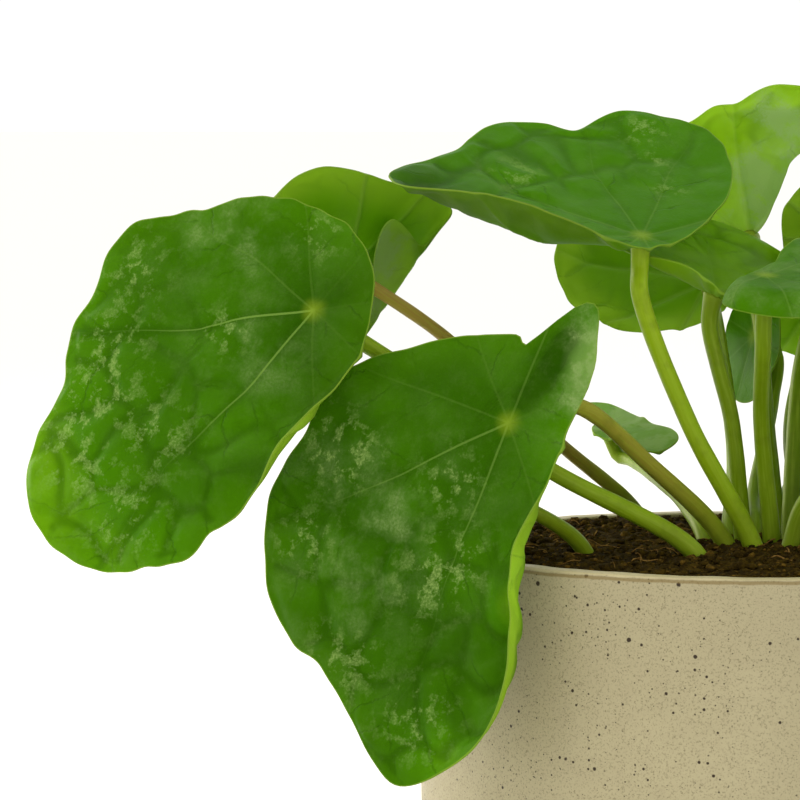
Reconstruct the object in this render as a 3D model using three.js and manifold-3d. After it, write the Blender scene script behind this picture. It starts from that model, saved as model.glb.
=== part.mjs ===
// Potted pilea: round, stalk-centred leaves over a plain cylindrical stoneware pot.
// Millimetres, +Z up. The origin is the centre of the pot's flat underside.
import * as THREE from "three";
import Module from "manifold-3d";

const wasm = await Module();
wasm.setup();

// Pot
const POT_RADIUS = 60;
const POT_HEIGHT = 110;
const POT_WALL = 4.5;
const POT_FLOOR = 7;
const POT_RIM_ROUND = 0.8;
const POT_FOOT_ROUND = 1.5;
const POT_CORNER_ROUND = 8;
const POT_SECTORS = 56;
const POT_SIDE_HEIGHTS = [0.35, 0.7];
const POT_UNDERSIDE_RING = 0.5;
const CORNER_STEPS = 2;

// Slight unevenness of the hand-made pot: how far its rim and side wave, the number of waves
// round it, and the heights over which the waves fade in from the foot and near the rim.
const POT_RIM_WAVE = 0.12;
const POT_RIM_WAVES = 2;
const POT_RIM_QUICK_WAVES = 5;
const POT_RIM_QUICK_SHARE = 0.5;
const POT_RIM_WAVE_TURN = 0.6;
const POT_RIM_FADE = 30;
const POT_SIDE_WAVE = 0.2;
const POT_SIDE_WAVES = 3;
const POT_SIDE_WAVE_CLIMB = 21;
const POT_FOOT_FADE = 20;
const POT_LIP_FADE = 12;

// Soil
const SOIL_GAP = 0.35;
const SOIL_EDGE_Z = 109.4;
const SOIL_CROWN = 1.2;
const SOIL_LUMP = 0.5;
const SOIL_RINGS = 7;
const SOIL_SECTORS = 36;
const SLOW_LUMP_SHARE = 0.6;

// Stalks
const STALK_SIDES = 6;
const STALK_STEPS = 10;
const STALK_DEPTH = 9;
const STALK_FOOT_GROWTH = 0.35;
const FOOT_LEAN = 0.2;
const NECK = 5;
const HOLE_GAP = 0.38;
const LEAF_GAP = 0.45;

// Leaves
const BLADE = 0.8;
const PLAIN_SHARES = [0.45, 0.8, 1];
const ROLLED_SHARES = [0.4, 0.66, 0.8, 0.9, 1];
const FOLDED_SHARES = [0.3, 0.46, 0.53, 0.6, 0.67, 0.75, 0.83, 0.91, 1];
const CUP_REACH = 40;
const LEAST_STRIP = 0.1;

const GLAZE = { color: 0xd9d0b8, roughness: 0.45, metalness: 0 };
const EARTH = { color: 0x2b2013, roughness: 0.95, metalness: 0 };
const LEAF_GREEN = { color: 0x3f7010, roughness: 0.38, metalness: 0 };
const STALK_GREEN = { color: 0x6d8416, roughness: 0.5, metalness: 0 };

// One entry per leaf. `join` is where the stalk meets the blade, `faces` the way the upper
// side looks and `points` the way the tip lies. The outline is given as radii, evenly spaced
// round the blade's middle, whose place is given along the tip and to its right. `cup` bends
// the blade up along and across the tip, `rolls` lists rolled margins as direction, half
// spread, width and turn, `folds` lists lobes folded over a straight crease as the way across
// it, its distance from the middle, its size and turn. `notches` lists cuts as direction,
// depth and spread. `steps` is the number of points round the outline where two for each
// radius are too few.
const LEAVES = [
  {
    name: "01", join: [-79.5, -28, 155], faces: [-0.3, -1, 0.32], points: [-0.62, 0, -0.78],
    middle: [24, 14], cup: [-3, -3], ripple: [0.9, 7, 20],
    radii: [
      40, 37, 31, 24, 23, 24, 24, 27, 30, 30, 31, 35,
      38.5, 41, 40, 36, 32, 30.5, 29.5, 29, 30.5, 35, 36.8, 39.6,
    ],
    notches: [[308, 0.05, 4]],
    rolls: [[262, 40, 6, 110]],
    root: [-10, -26], through: [[-37.8, -28, 126.7], [-64, -20, 144.4]], thick: 3.2,
  },
  {
    name: "02", join: [-44.8, -42, 135.8], faces: [-0.35, -1, 0.3], points: [-0.28, -0.1, -1],
    middle: [24, 14], cup: [-2, -2], ripple: [0.8, 6, 0],
    radii: [
      33.5, 28, 28, 28, 27, 26, 27, 27, 27, 31, 33, 34,
      37, 41, 49, 35, 30, 29, 30, 33, 37, 41, 43, 44.4,
    ],
    steps: 96,
    rolls: [[280, 62, 9, 140]], notches: [[204, -0.13, 4.5], [199, 0.09, 2.2]],
    root: [-3.5, -8.5], through: [[-18.2, -18, 126.1], [-32.9, -30, 138]], thick: 3.2,
  },
  {
    name: "03", join: [-74.6, 22, 160.7], faces: [-0.55, 0.75, 0.35], points: [-0.5, -0.2, -0.6],
    middle: [8, 0], cup: [-4, -4], ripple: [0.4, 5, 40],
    radii: [
      30, 29, 27, 24, 20, 16, 16.5, 21, 25, 36.5, 27, 32.5,
      29, 27, 26.5, 27.5, 28.8, 28, 27, 28, 29, 30, 31, 31,
    ],
    steps: 56,
    folds: [[102, 12.8, 1.4, -172]],
    root: [-16, 46], through: [[-33, 34, 126.1], [-56.4, 14, 148.6]], thick: 2.6,
  },
  {
    name: "04", join: [-70, -16, 124], faces: [-0.8, -0.35, 0.6], points: [-0.6, -0.1, -0.7],
    middle: [6, 0], cup: [-3, -3], ripple: [0.5, 5, 10],
    radii: [18, 17, 17, 16, 15, 14, 14, 14, 15, 16, 17, 18],
    root: [-30, -17], through: [[-40.5, -24, 118.5], [-56, -20, 123]], thick: 2.8,
  },
  {
    name: "05", join: [-19.5, -12, 168.3], faces: [0.06, -0.45, 1], points: [-0.8, 0.6, 0.12],
    middle: [20.6, 5], cup: [3, 5], ripple: [0.3, 5, 60],
    radii: [
      23, 24, 24, 23, 21, 29, 32, 35, 34, 32, 30, 28,
      27.3, 26.6, 27.5, 30, 32.5, 33, 33, 33, 35, 33.5, 27, 23,
    ],
    rolls: [[255, 60, 14, 85]],
    root: [1.5, -11], through: [[-10.6, -14, 133.2], [-19.8, -14.2, 156.8]], thick: 3.4,
  },
  {
    name: "06", join: [-5.2, -6, 157.7], faces: [0.4, -0.3, 1], points: [-0.1, 1, 0.1],
    middle: [18, 0], cup: [3, 3], ripple: [0.3, 4, 0],
    radii: [18, 19, 22, 22, 21, 21, 22, 24, 26, 25, 24, 20],
    rolls: [[200, 38, 6, 60]],
    root: [0.5, -1], through: [[-2.1, -4, 133.3], [-4.9, -5.2, 144]], thick: 3.2,
  },
  {
    name: "07", join: [2.2, -24, 161.4], faces: [0.05, -0.22, 1], points: [0.97, 0.3, -0.1],
    middle: [17.5, -9], cup: [3, 6], ripple: [0.4, 5, 30],
    radii: [
      34, 33, 32, 31, 30, 29, 29, 30, 32, 34, 34.5, 23,
      15, 12, 10.5, 10, 10.3, 11.5, 14, 18, 24, 26.5, 29, 32,
    ],
    rolls: [[135, 85, 8, -80]],
    root: [5.5, -4], through: [[2.8, -10, 133.8], [2.2, -19, 147]], thick: 3.2,
  },
  {
    name: "08", join: [-21.5, 62, 126.8], faces: [-0.1, -0.33, 1], points: [1, -0.2, 0],
    middle: [4.2, -0.8], cup: [-1, -1], ripple: [0.3, 5, 0],
    radii: [
      6.5, 9.2, 12.5, 13.9, 14.5, 12.5, 9, 7.5, 7, 7.5, 8, 8,
      8, 8.2, 10.5, 16, 13.5, 8.8, 6.5, 5.2, 4.6, 4.3, 4.5, 5.2,
    ],
    root: [-6.8, -2.5], through: [[-9.1, 6, 115.3], [-12.6, 36, 118], [-17.6, 60, 120.5]], thick: 2.8,
  },
  {
    name: "09", join: [-1.7, 66, 157], faces: [-0.1, 0.75, 0.6], points: [-0.9, 0.3, -0.3],
    middle: [13, -8], cup: [-2, -2], ripple: [0.4, 5, 0],
    radii: [13.5, 12.5, 14, 17, 21, 23, 23, 23, 23, 23, 19.5, 15.5],
    root: [-1.5, 6], through: [[0.6, 22, 123.8], [-0.4, 50, 146.5]], thick: 3,
  },
  {
    name: "10", join: [5.8, 46, 166.1], faces: [0.3, 0.8, 0.4], points: [0.1, 0.1, 0.98],
    middle: [19, 1], cup: [-2, -2], ripple: [0.3, 5, 0],
    radii: [11, 11, 12, 17, 20, 19, 19.5, 12.5, 10, 11.5, 22.5, 18],
    root: [8, 11.5], through: [[7.2, 24, 130], [6.8, 39, 149.7]], thick: 3,
  },
  {
    name: "11", join: [21.2, 34, 167.3], faces: [0.1, 0.8, 0.6], points: [0.7, 0.3, -0.4],
    middle: [5, 0], cup: [-3, -3], ripple: [0.4, 5, 0],
    radii: [19, 19, 18, 17, 17, 18.5, 17.3, 14.8, 14, 14, 16, 18],
    root: [9.5, 2.5], through: [[12.4, 14, 141.5], [17.7, 26, 156.3]], thick: 3.2,
  },
  {
    name: "12", join: [6.7, 53, 146], faces: [-0.9, -0.4, 0.15], points: [0.05, 0.3, -1],
    middle: [1, 0], cup: [-2, -2], ripple: [0.4, 5, 0],
    radii: [13, 12.5, 11.5, 11, 11.5, 12, 12.5, 12, 11.5, 11, 11.5, 12.5],
    root: [3.7, 7.6], through: [[4.3, 20, 116.5], [10.4, 48, 133.5]], thick: 2.8,
  },
  {
    name: "13", join: [18.9, 52, 153.2], faces: [0.2, 0.8, 0.6], points: [0.3, 0.5, -0.6],
    middle: [5, 0], cup: [-3, -3], ripple: [0.4, 5, 0],
    radii: [12, 15, 18, 20, 19, 17, 14, 12, 11, 11, 12, 10.5],
    root: [12.5, 9], through: [[11.8, 26, 129.1], [16.9, 45, 144.6]], thick: 3,
  },
  {
    name: "14", join: [66, -4, 168], faces: [0.4, -0.2, 0.9], points: [0.8, 0.1, -0.5],
    middle: [16, 0], cup: [-3, -4], ripple: [1, 6, 40],
    radii: [36, 34, 31, 29, 28, 29, 30, 29, 28, 30, 33, 36],
    rolls: [[60, 50, 6, 60]],
    root: [12, -5], through: [[15, -6, 124.5], [44, -8, 154]], thick: 3.2,
  },
  {
    name: "15", join: [60, -48, 130], faces: [0.62, -0.75, 0.4], points: [0.3, -0.2, -0.95],
    middle: [20, 0], cup: [-3, -3], ripple: [0.9, 7, 0],
    radii: [38, 35, 31, 30, 31, 30, 29, 31, 32, 31, 33, 37],
    rolls: [[280, 50, 7, 100]],
    root: [8.5, -11], through: [[12, -15, 120.5], [38, -34, 132]], thick: 3.2,
  },
  {
    name: "16", join: [88, 16, 136], faces: [0.8, 0.1, 0.55], points: [0.6, 0.15, -0.75],
    middle: [18, 0], cup: [-3, -3], ripple: [0.8, 6, 80],
    radii: [34, 33, 31, 28, 26, 26, 27, 27, 28, 30, 32, 34],
    root: [16.5, -0.5], through: [[32, 4, 127], [66, 14, 136]], thick: 3.2,
  },
  {
    name: "17", join: [78, 50, 150], faces: [0.65, 0.6, 0.45], points: [0.3, 0.3, -0.85],
    middle: [17, 0], cup: [-3, -3], ripple: [0.8, 6, 10],
    radii: [35, 33, 30, 29, 28, 28, 27, 28, 30, 31, 32, 35],
    root: [13, 14], through: [[27, 25, 132], [62, 42, 149]], thick: 3,
  },
  {
    name: "18", join: [42, 12, 186], faces: [0.2, -0.25, 1], points: [0.9, 0.3, 0.1],
    middle: [12, 0], cup: [4, 5], ripple: [0.6, 5, 30],
    radii: [30, 29, 27, 25, 23, 23, 23, 23, 24, 26, 28, 30],
    root: [17.5, 4.7], through: [[25, 10, 142], [39.5, 15, 172]], thick: 3,
  },
  {
    name: "19", join: [44, 84, 132], faces: [0.15, 0.8, 0.6], points: [0.1, 0.5, -0.85],
    middle: [12, 0], cup: [-3, -3], ripple: [0.7, 6, 50],
    radii: [28, 27, 25, 23, 22, 22, 22, 23, 24, 25, 26, 28],
    root: [8, 15.5], through: [[15, 38, 120], [34, 70, 131]], thick: 2.8,
  },
];

// Uneven lumps between -1 and 1: slow waves of 20 to 23 mm crossed by quick ones of 8 to 10 mm.
function noise(x, y) {
  const slow = Math.sin(x * 0.31 + 1.3) * Math.cos(y * 0.27 - 0.4);
  const quick = Math.sin(x * 0.83 - y * 0.61 + 2.1) * Math.cos(y * 0.74 + x * 0.22);
  return SLOW_LUMP_SHARE * slow + (1 - SLOW_LUMP_SHARE) * quick;
}

function smooth(t) {
  const u = Math.min(1, Math.max(0, t));
  return u * u * (3 - 2 * u);
}

function toGeometry(points, triangles) {
  const geometry = new THREE.BufferGeometry();
  geometry.setAttribute("position", new THREE.Float32BufferAttribute(points.flat(), 3));
  geometry.setIndex(triangles.flat());
  geometry.computeVertexNormals();
  return geometry;
}

function toManifold(geometry) {
  const position = geometry.getAttribute("position");
  return new wasm.Manifold(
    new wasm.Mesh({
      numProp: 3,
      vertProperties: new Float32Array(position.array),
      triVerts: new Uint32Array(geometry.getIndex().array),
    }),
  );
}

function fromManifold(solid) {
  const mesh = solid.getMesh();
  const geometry = new THREE.BufferGeometry();
  geometry.setAttribute("position", new THREE.Float32BufferAttribute(mesh.vertProperties, 3));
  geometry.setIndex(Array.from(mesh.triVerts));
  geometry.computeVertexNormals();
  return geometry;
}

// Turns a closed profile of [radius, height] pairs that starts and ends on the axis.
function turned(profile, sectors, shift) {
  const points = [];
  const triangles = [];
  const inner = profile.slice(1, -1);
  points.push([0, 0, profile[0][1]]);
  for (const [radius, height] of inner) {
    for (let i = 0; i < sectors; i += 1) {
      const angle = (i / sectors) * 2 * Math.PI;
      const [dr, dz] = shift(radius, height, angle);
      points.push([(radius + dr) * Math.cos(angle), (radius + dr) * Math.sin(angle), height + dz]);
    }
  }
  points.push([0, 0, profile[profile.length - 1][1]]);
  const last = points.length - 1;
  const at = (ring, i) => 1 + ring * sectors + (i % sectors);
  for (let i = 0; i < sectors; i += 1) {
    triangles.push([0, at(0, i + 1), at(0, i)]);
    triangles.push([last, at(inner.length - 1, i), at(inner.length - 1, i + 1)]);
    for (let ring = 0; ring + 1 < inner.length; ring += 1) {
      triangles.push([at(ring, i), at(ring, i + 1), at(ring + 1, i + 1)]);
      triangles.push([at(ring, i), at(ring + 1, i + 1), at(ring + 1, i)]);
    }
  }
  return toGeometry(points, triangles);
}

// Rounded corner from `start` to `start + turn` degrees, as profile points.
function corner(cx, cz, radius, start, turn) {
  const points = [];
  for (let i = 0; i <= CORNER_STEPS; i += 1) {
    const angle = THREE.MathUtils.degToRad(start + (turn * i) / CORNER_STEPS);
    points.push([cx + radius * Math.cos(angle), cz + radius * Math.sin(angle)]);
  }
  return points;
}

function potGeometry() {
  const inside = POT_RADIUS - POT_WALL;
  const profile = [
    [0, 0],
    [POT_RADIUS * POT_UNDERSIDE_RING, 0],
    ...corner(POT_RADIUS - POT_FOOT_ROUND, POT_FOOT_ROUND, POT_FOOT_ROUND, -90, 90),
    ...POT_SIDE_HEIGHTS.map((share) => [POT_RADIUS, POT_HEIGHT * share]),
    ...corner(POT_RADIUS - POT_RIM_ROUND, POT_HEIGHT - POT_RIM_ROUND, POT_RIM_ROUND, 0, 90),
    ...corner(inside + POT_RIM_ROUND, POT_HEIGHT - POT_RIM_ROUND, POT_RIM_ROUND, 90, 90),
    ...corner(inside - POT_CORNER_ROUND, POT_FLOOR + POT_CORNER_ROUND, POT_CORNER_ROUND, 0, -90),
    [0, POT_FLOOR],
  ];
  const shift = (radius, height, angle) => {
    const rise = smooth((height - POT_HEIGHT + POT_RIM_FADE) / POT_RIM_FADE);
    const side = smooth(height / POT_FOOT_FADE) * smooth((POT_HEIGHT - height) / POT_LIP_FADE);
    const outer = radius > inside + POT_WALL / 2 ? 1 : 0;
    const sway = Math.sin(POT_SIDE_WAVES * angle + height / POT_SIDE_WAVE_CLIMB);
    const slow = Math.sin(POT_RIM_WAVES * angle + POT_RIM_WAVE_TURN);
    const quick = POT_RIM_QUICK_SHARE * Math.sin(POT_RIM_QUICK_WAVES * angle);
    return [outer * side * POT_SIDE_WAVE * sway, rise * POT_RIM_WAVE * (slow + quick)];
  };
  return turned(profile, POT_SECTORS, shift);
}

function soilHeight(x, y) {
  const radius = Math.hypot(x, y) / (POT_RADIUS - POT_WALL - SOIL_GAP);
  return SOIL_EDGE_Z + SOIL_CROWN * (1 - radius * radius) + SOIL_LUMP * noise(x, y);
}

function soilGeometry(holes) {
  const radius = POT_RADIUS - POT_WALL - SOIL_GAP;
  const bottom = POT_FLOOR + SOIL_GAP;
  const profile = [
    [0, bottom],
    ...corner(radius - POT_CORNER_ROUND, bottom + POT_CORNER_ROUND, POT_CORNER_ROUND, -90, 90),
    [radius, SOIL_EDGE_Z],
  ];
  for (let ring = SOIL_RINGS - 1; ring > 0; ring -= 1) {
    profile.push([(radius * ring) / SOIL_RINGS, POT_HEIGHT]);
  }
  profile.push([0, soilHeight(0, 0)]);
  const shift = (ringRadius, height, angle) => {
    if (height < SOIL_EDGE_Z) {
      return [0, 0];
    }
    const top = soilHeight(ringRadius * Math.cos(angle), ringRadius * Math.sin(angle));
    return [0, top - height];
  };
  let solid = toManifold(turned(profile, SOIL_SECTORS, shift));
  for (const hole of holes) {
    solid = solid.subtract(hole);
  }
  return fromManifold(solid);
}

// A tapered round rod along `centres`, closed at both ends. Its last end is cut square to
// `cut` where that is given.
function rod(centres, radii, sides, cut) {
  const points = [];
  const triangles = [];
  const count = centres.length;
  let across = new THREE.Vector3(1, 0, 0);
  for (let i = 0; i < count; i += 1) {
    const before = centres[Math.max(0, i - 1)];
    const after = centres[Math.min(count - 1, i + 1)];
    const along = after.clone().sub(before).normalize();
    across = across.clone().sub(along.clone().multiplyScalar(along.dot(across))).normalize();
    const other = along.clone().cross(across);
    for (let k = 0; k < sides; k += 1) {
      const angle = (k / sides) * 2 * Math.PI;
      const point = centres[i].clone();
      point.addScaledVector(across, radii[i] * Math.cos(angle));
      point.addScaledVector(other, radii[i] * Math.sin(angle));
      if (cut && i === count - 1) {
        const off = point.clone().sub(centres[i]).dot(cut);
        point.addScaledVector(along, -off / along.dot(cut));
      }
      points.push(point.toArray());
    }
  }
  points.push(centres[0].toArray(), centres[count - 1].toArray());
  const foot = count * sides;
  for (let k = 0; k < sides; k += 1) {
    const next = (k + 1) % sides;
    triangles.push([foot, next, k]);
    triangles.push([foot + 1, (count - 1) * sides + k, (count - 1) * sides + next]);
    for (let i = 0; i + 1 < count; i += 1) {
      const low = i * sides;
      const high = low + sides;
      triangles.push([low + k, low + next, high + next]);
      triangles.push([low + k, high + next, high + k]);
    }
  }
  return toGeometry(points, triangles);
}

// The blade's own axes: towards the tip, to the right of it and out of the upper side.
function bladeAxes(leaf) {
  const up = new THREE.Vector3(...leaf.faces).normalize();
  const tip = new THREE.Vector3(...leaf.points);
  tip.addScaledVector(up, -tip.dot(up)).normalize();
  return { up, tip, right: tip.clone().cross(up) };
}

// Outline radius in a direction, by a closed smooth curve through the listed radii.
function outlineRadius(leaf, degrees) {
  const list = leaf.radii;
  const count = list.length;
  const place = (((degrees % 360) + 360) % 360) * (count / 360);
  const i = Math.floor(place);
  const t = place - i;
  const p = [-1, 0, 1, 2].map((step) => list[(i + step + count) % count]);
  const bend = (3 * p[1] - p[0] - 3 * p[2] + p[3]) * t * t * t;
  const curve = (2 * p[0] - 5 * p[1] + 4 * p[2] - p[3]) * t * t;
  let radius = 0.5 * (2 * p[1] + (p[2] - p[0]) * t + curve + bend);
  for (const [direction, depth, spread] of leaf.notches ?? []) {
    const away = turnBetween(degrees, direction) / spread;
    radius *= 1 - depth * Math.exp(-away * away);
  }
  return radius;
}

function turnBetween(a, b) {
  return ((((a - b) % 360) + 540) % 360) - 180;
}

// A point of the blade's upper side: `share` of the way out from the middle in a direction.
function bladePoint(leaf, axes, degrees, share) {
  const angle = THREE.MathUtils.degToRad(degrees);
  const edge = outlineRadius(leaf, degrees);
  let reach = share * edge;
  let lift = 0;
  for (const [direction, spread, width, turn] of leaf.rolls ?? []) {
    const away = Math.abs(turnBetween(degrees, direction)) / spread;
    if (away < 1) {
      const part = Math.cos((away * Math.PI) / 2);
      const strip = width * part;
      const inside = edge - strip;
      if (reach > inside && strip > LEAST_STRIP) {
        const radius = width / THREE.MathUtils.degToRad(turn);
        const swept = (reach - inside) / radius;
        reach = inside + radius * Math.sin(swept);
        lift += radius * (1 - Math.cos(swept));
      }
    }
  }
  let a = leaf.middle[0] + reach * Math.cos(angle);
  let b = leaf.middle[1] + reach * Math.sin(angle);
  for (const [direction, distance, size, turn] of leaf.folds ?? []) {
    const across = THREE.MathUtils.degToRad(direction);
    const past = reach * Math.cos(angle - across) - distance;
    if (past > 0) {
      const bend = THREE.MathUtils.degToRad(turn);
      const radius = size * Math.sign(turn);
      const curved = Math.min(past, bend * radius);
      const straight = past - curved;
      const swept = curved / radius;
      const moved = radius * Math.sin(swept) + straight * Math.cos(bend) - past;
      a += moved * Math.cos(across);
      b += moved * Math.sin(across);
      lift += radius * (1 - Math.cos(swept)) + straight * Math.sin(bend);
    }
  }
  lift += leaf.cup[0] * (a / CUP_REACH) ** 2 + leaf.cup[1] * (b / CUP_REACH) ** 2;
  const [height, waves, phase] = leaf.ripple;
  lift += height * share ** 3 * Math.sin(waves * angle + THREE.MathUtils.degToRad(phase));
  const point = new THREE.Vector3(...leaf.join);
  point.addScaledVector(axes.tip, a);
  point.addScaledVector(axes.right, b);
  point.addScaledVector(axes.up, lift);
  return point;
}

function bladeGeometry(leaf) {
  const axes = bladeAxes(leaf);
  const steps = leaf.steps ?? leaf.radii.length * 2;
  const shares = leaf.folds ? FOLDED_SHARES : leaf.rolls ? ROLLED_SHARES : PLAIN_SHARES;
  const rings = shares.length;
  const upper = [bladePoint(leaf, axes, 0, 0)];
  const faces = [];
  const at = (ring, i) => 1 + (ring - 1) * steps + (i % steps);
  for (const share of shares) {
    for (let i = 0; i < steps; i += 1) {
      upper.push(bladePoint(leaf, axes, (i / steps) * 360, share));
    }
  }
  for (let i = 0; i < steps; i += 1) {
    faces.push([0, at(1, i + 1), at(1, i)]);
    for (let ring = 1; ring < rings; ring += 1) {
      faces.push([at(ring, i), at(ring, i + 1), at(ring + 1, i + 1)]);
      faces.push([at(ring, i), at(ring + 1, i + 1), at(ring + 1, i)]);
    }
  }
  const surface = toGeometry(upper.map((point) => point.toArray()), faces);
  const normals = surface.getAttribute("normal");
  const points = upper.map((point) => point.toArray());
  for (let i = 0; i < upper.length; i += 1) {
    const out = new THREE.Vector3().fromBufferAttribute(normals, i);
    points.push(upper[i].clone().addScaledVector(out, -BLADE).toArray());
  }
  const under = upper.length;
  const triangles = [...faces];
  for (const [a, b, c] of faces) {
    triangles.push([under + a, under + c, under + b]);
  }
  for (let i = 0; i < steps; i += 1) {
    const here = at(rings, i);
    const next = at(rings, i + 1);
    triangles.push([here, next, under + next]);
    triangles.push([here, under + next, under + here]);
  }
  return toGeometry(points, triangles);
}

function stalkPath(leaf) {
  const { up } = bladeAxes(leaf);
  const top = new THREE.Vector3(...leaf.join).addScaledVector(up, -(BLADE + LEAF_GAP));
  const middles = leaf.through.map((point) => new THREE.Vector3(...point));
  const arriving = top.clone().sub(middles[middles.length - 1]).normalize();
  const neck = top.clone().addScaledVector(up.clone().add(arriving).normalize(), -NECK);
  const [x, y] = leaf.root;
  const ground = new THREE.Vector3(x, y, soilHeight(x, y));
  const lean = middles[0].clone().sub(ground).setZ(0).normalize();
  const foot = ground.clone().addScaledVector(lean, -STALK_DEPTH * FOOT_LEAN);
  foot.z -= STALK_DEPTH;
  const points = [foot, ground, ...middles, neck, top];
  return new THREE.CatmullRomCurve3(points, false, "centripetal").getSpacedPoints(STALK_STEPS);
}

function stalkRadii(leaf, growth) {
  const radii = [];
  for (let i = 0; i <= STALK_STEPS; i += 1) {
    const low = 1 - i / STALK_STEPS;
    radii.push(leaf.thick / 2 + STALK_FOOT_GROWTH * low ** 3 + growth);
  }
  return radii;
}

function named(name, geometry, finish) {
  const mesh = new THREE.Mesh(geometry, new THREE.MeshStandardMaterial(finish));
  mesh.name = name;
  return mesh;
}

const plant = new THREE.Group();
plant.name = "potted_pilea";

const holes = LEAVES.map((leaf) => {
  const path = stalkPath(leaf);
  path[0].addScaledVector(path[1].clone().sub(path[0]).normalize(), -HOLE_GAP);
  return toManifold(rod(path, stalkRadii(leaf, HOLE_GAP), STALK_SIDES));
});

plant.add(named("pot", potGeometry(), GLAZE));
plant.add(named("soil", soilGeometry(holes), EARTH));
for (const leaf of LEAVES) {
  const stalk = rod(stalkPath(leaf), stalkRadii(leaf, 0), STALK_SIDES, bladeAxes(leaf).up);
  plant.add(named(`stalk_${leaf.name}`, stalk, STALK_GREEN));
  plant.add(named(`leaf_${leaf.name}`, bladeGeometry(leaf), LEAF_GREEN));
}

export default plant;
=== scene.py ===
# Potted pilea: the finished leaves, stalks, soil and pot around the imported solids.
# Shapes are worked out in millimetres and turned to metres when a mesh is made.
import math

import bpy
import numpy as np
from mathutils import Euler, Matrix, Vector


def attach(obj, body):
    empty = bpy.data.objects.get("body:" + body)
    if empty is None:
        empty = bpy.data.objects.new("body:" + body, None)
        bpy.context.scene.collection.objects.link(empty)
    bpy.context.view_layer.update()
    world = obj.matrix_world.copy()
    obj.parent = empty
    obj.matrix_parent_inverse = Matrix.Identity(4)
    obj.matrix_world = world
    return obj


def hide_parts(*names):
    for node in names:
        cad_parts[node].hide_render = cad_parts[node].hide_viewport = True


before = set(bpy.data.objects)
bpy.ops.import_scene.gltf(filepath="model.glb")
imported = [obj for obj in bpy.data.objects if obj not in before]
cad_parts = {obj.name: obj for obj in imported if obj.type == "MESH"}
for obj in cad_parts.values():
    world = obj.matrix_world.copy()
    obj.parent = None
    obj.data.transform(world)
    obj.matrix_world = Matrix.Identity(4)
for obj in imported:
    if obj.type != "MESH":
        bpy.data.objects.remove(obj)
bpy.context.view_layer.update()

MM = 0.001

# Camera
CAMERA_PLACE = (-0.064, -0.748, 0.1904)
CAMERA_DROP = 4.1
CAMERA_LENS = 180
CAMERA_SENSOR = 36

# Pot
POT_RADIUS = 60
POT_HEIGHT = 110
POT_WALL = 4.5
POT_FLOOR = 7
POT_RIM_ROUND = 0.8
POT_FOOT_ROUND = 1.5
POT_CORNER_ROUND = 8
POT_SECTORS = 192
POT_SIDE_ROWS = 44
POT_INSIDE_ROWS = 14
# Slight unevenness of the hand-made pot: how far its rim and side wave, the number of waves
# round it, and the heights over which the waves fade in from the foot and near the rim.
POT_RIM_WAVE = 0.12
POT_RIM_WAVES = 2
POT_RIM_QUICK_WAVES = 5
POT_RIM_QUICK_SHARE = 0.5
POT_RIM_WAVE_TURN = 0.6
POT_RIM_WAVE_FADE = 30
POT_SIDE_WAVE = 0.2
POT_SIDE_WAVES = 3
POT_SIDE_WAVE_CLIMB = 21
POT_SIDE_FOOT_FADE = 20
POT_SIDE_RIM_FADE = 12
# Small dents left by the hand: height, and spacing on the side and along the rim.
POT_DENT = 0.06
POT_DENT_SPACING = 14
POT_RIM_DENT_SPACING = 9
POT_RIM_DENT_FADE = 2

# Soil
SOIL_GAP = 0.35
SOIL_EDGE_Z = 109.4
SOIL_CROWN = 1.2
SOIL_LUMP = 0.5
SOIL_SECTORS = 168
SOIL_RINGS = 62
# Small lumps, as height and spacing, and how many shares of the radius they take to fade in.
SOIL_SMALL_LUMPS = ((0.45, 5), (0.3, 2.4), (0.18, 1.3))
SOIL_LUMP_FADE = 12
CRUMBS = 3600
CRUMB_SIZES = [0.25, 0.45, 0.8, 1.3]
CRUMB_SIZE_SHARES = [0.42, 0.34, 0.18, 0.06]
BARK_SHARE = 0.3
# A crumb is turned by up to about a full turn, in radians, on each axis.
CRUMB_TURN = 6.28
CRUMB_CORNER_REACH = 1.9
FIBRES = 80
FIBRE_POINTS = 9
FIBRE_STEP = 0.7
FIBRE_HEIGHT = 0.35
FIBRE_WAVE = 0.3

# Stalks
STALK_SIDES = 18
STALK_STEPS = 64
STALK_DEPTH = 9
STALK_FOOT_GROWTH = 0.35
FOOT_LEAN = 0.2
NECK = 5
LEAF_GAP = 0.45
# The collar under the blade, the slimmer middle, and the low ridges that run along a stalk.
STALK_COLLAR = (0.45, 2.2)
STALK_WAIST = 0.12
STALK_SWELL = 0.02
STALK_SWELL_SPACING = 9
STALK_RIDGES = ((3, 0.025), (7, 0.012))
# Streaks: size of their pattern round a stalk, its step from stalk to stalk, and its stretch.
STREAK_ROUND = 3
STREAK_STEP = 9
STREAK_STRETCH = 0.08

# Leaves
BLADE = 0.8
CUP_REACH = 40
BLADE_GRID = (192, 34)
NEAR_BLADE_GRID = (288, 52)
NEAR_BLADES = ("01", "02", "03", "05")
VEINS = 8
EVEN_VEINS = [0.3] * VEINS
EVEN_VEIN_TURNS = [360 / VEINS * i for i in range(VEINS)]
# How far the main veins sway, in degrees, the spacing of the sway, and where it is in full.
VEIN_SWAY = 3.5
VEIN_SWAY_SPACING = 34
VEIN_SWAY_START = 25
# The margin's own small waves, and how far it stays inside the solid's outline.
MARGIN_WAVE = 0.25
MARGIN_WAVE_SPACING = 7
MARGIN_INSET = 0.2
MARGIN_THINNING = 0.5
# Rings of a blade: the first one's share, and how closely they crowd towards the margin.
FIRST_RING = 0.012
RING_CROWDING = 1.25
# A blade of this mean radius has the full relief, and a smaller one less.
FULL_GROWN = 30
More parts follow.
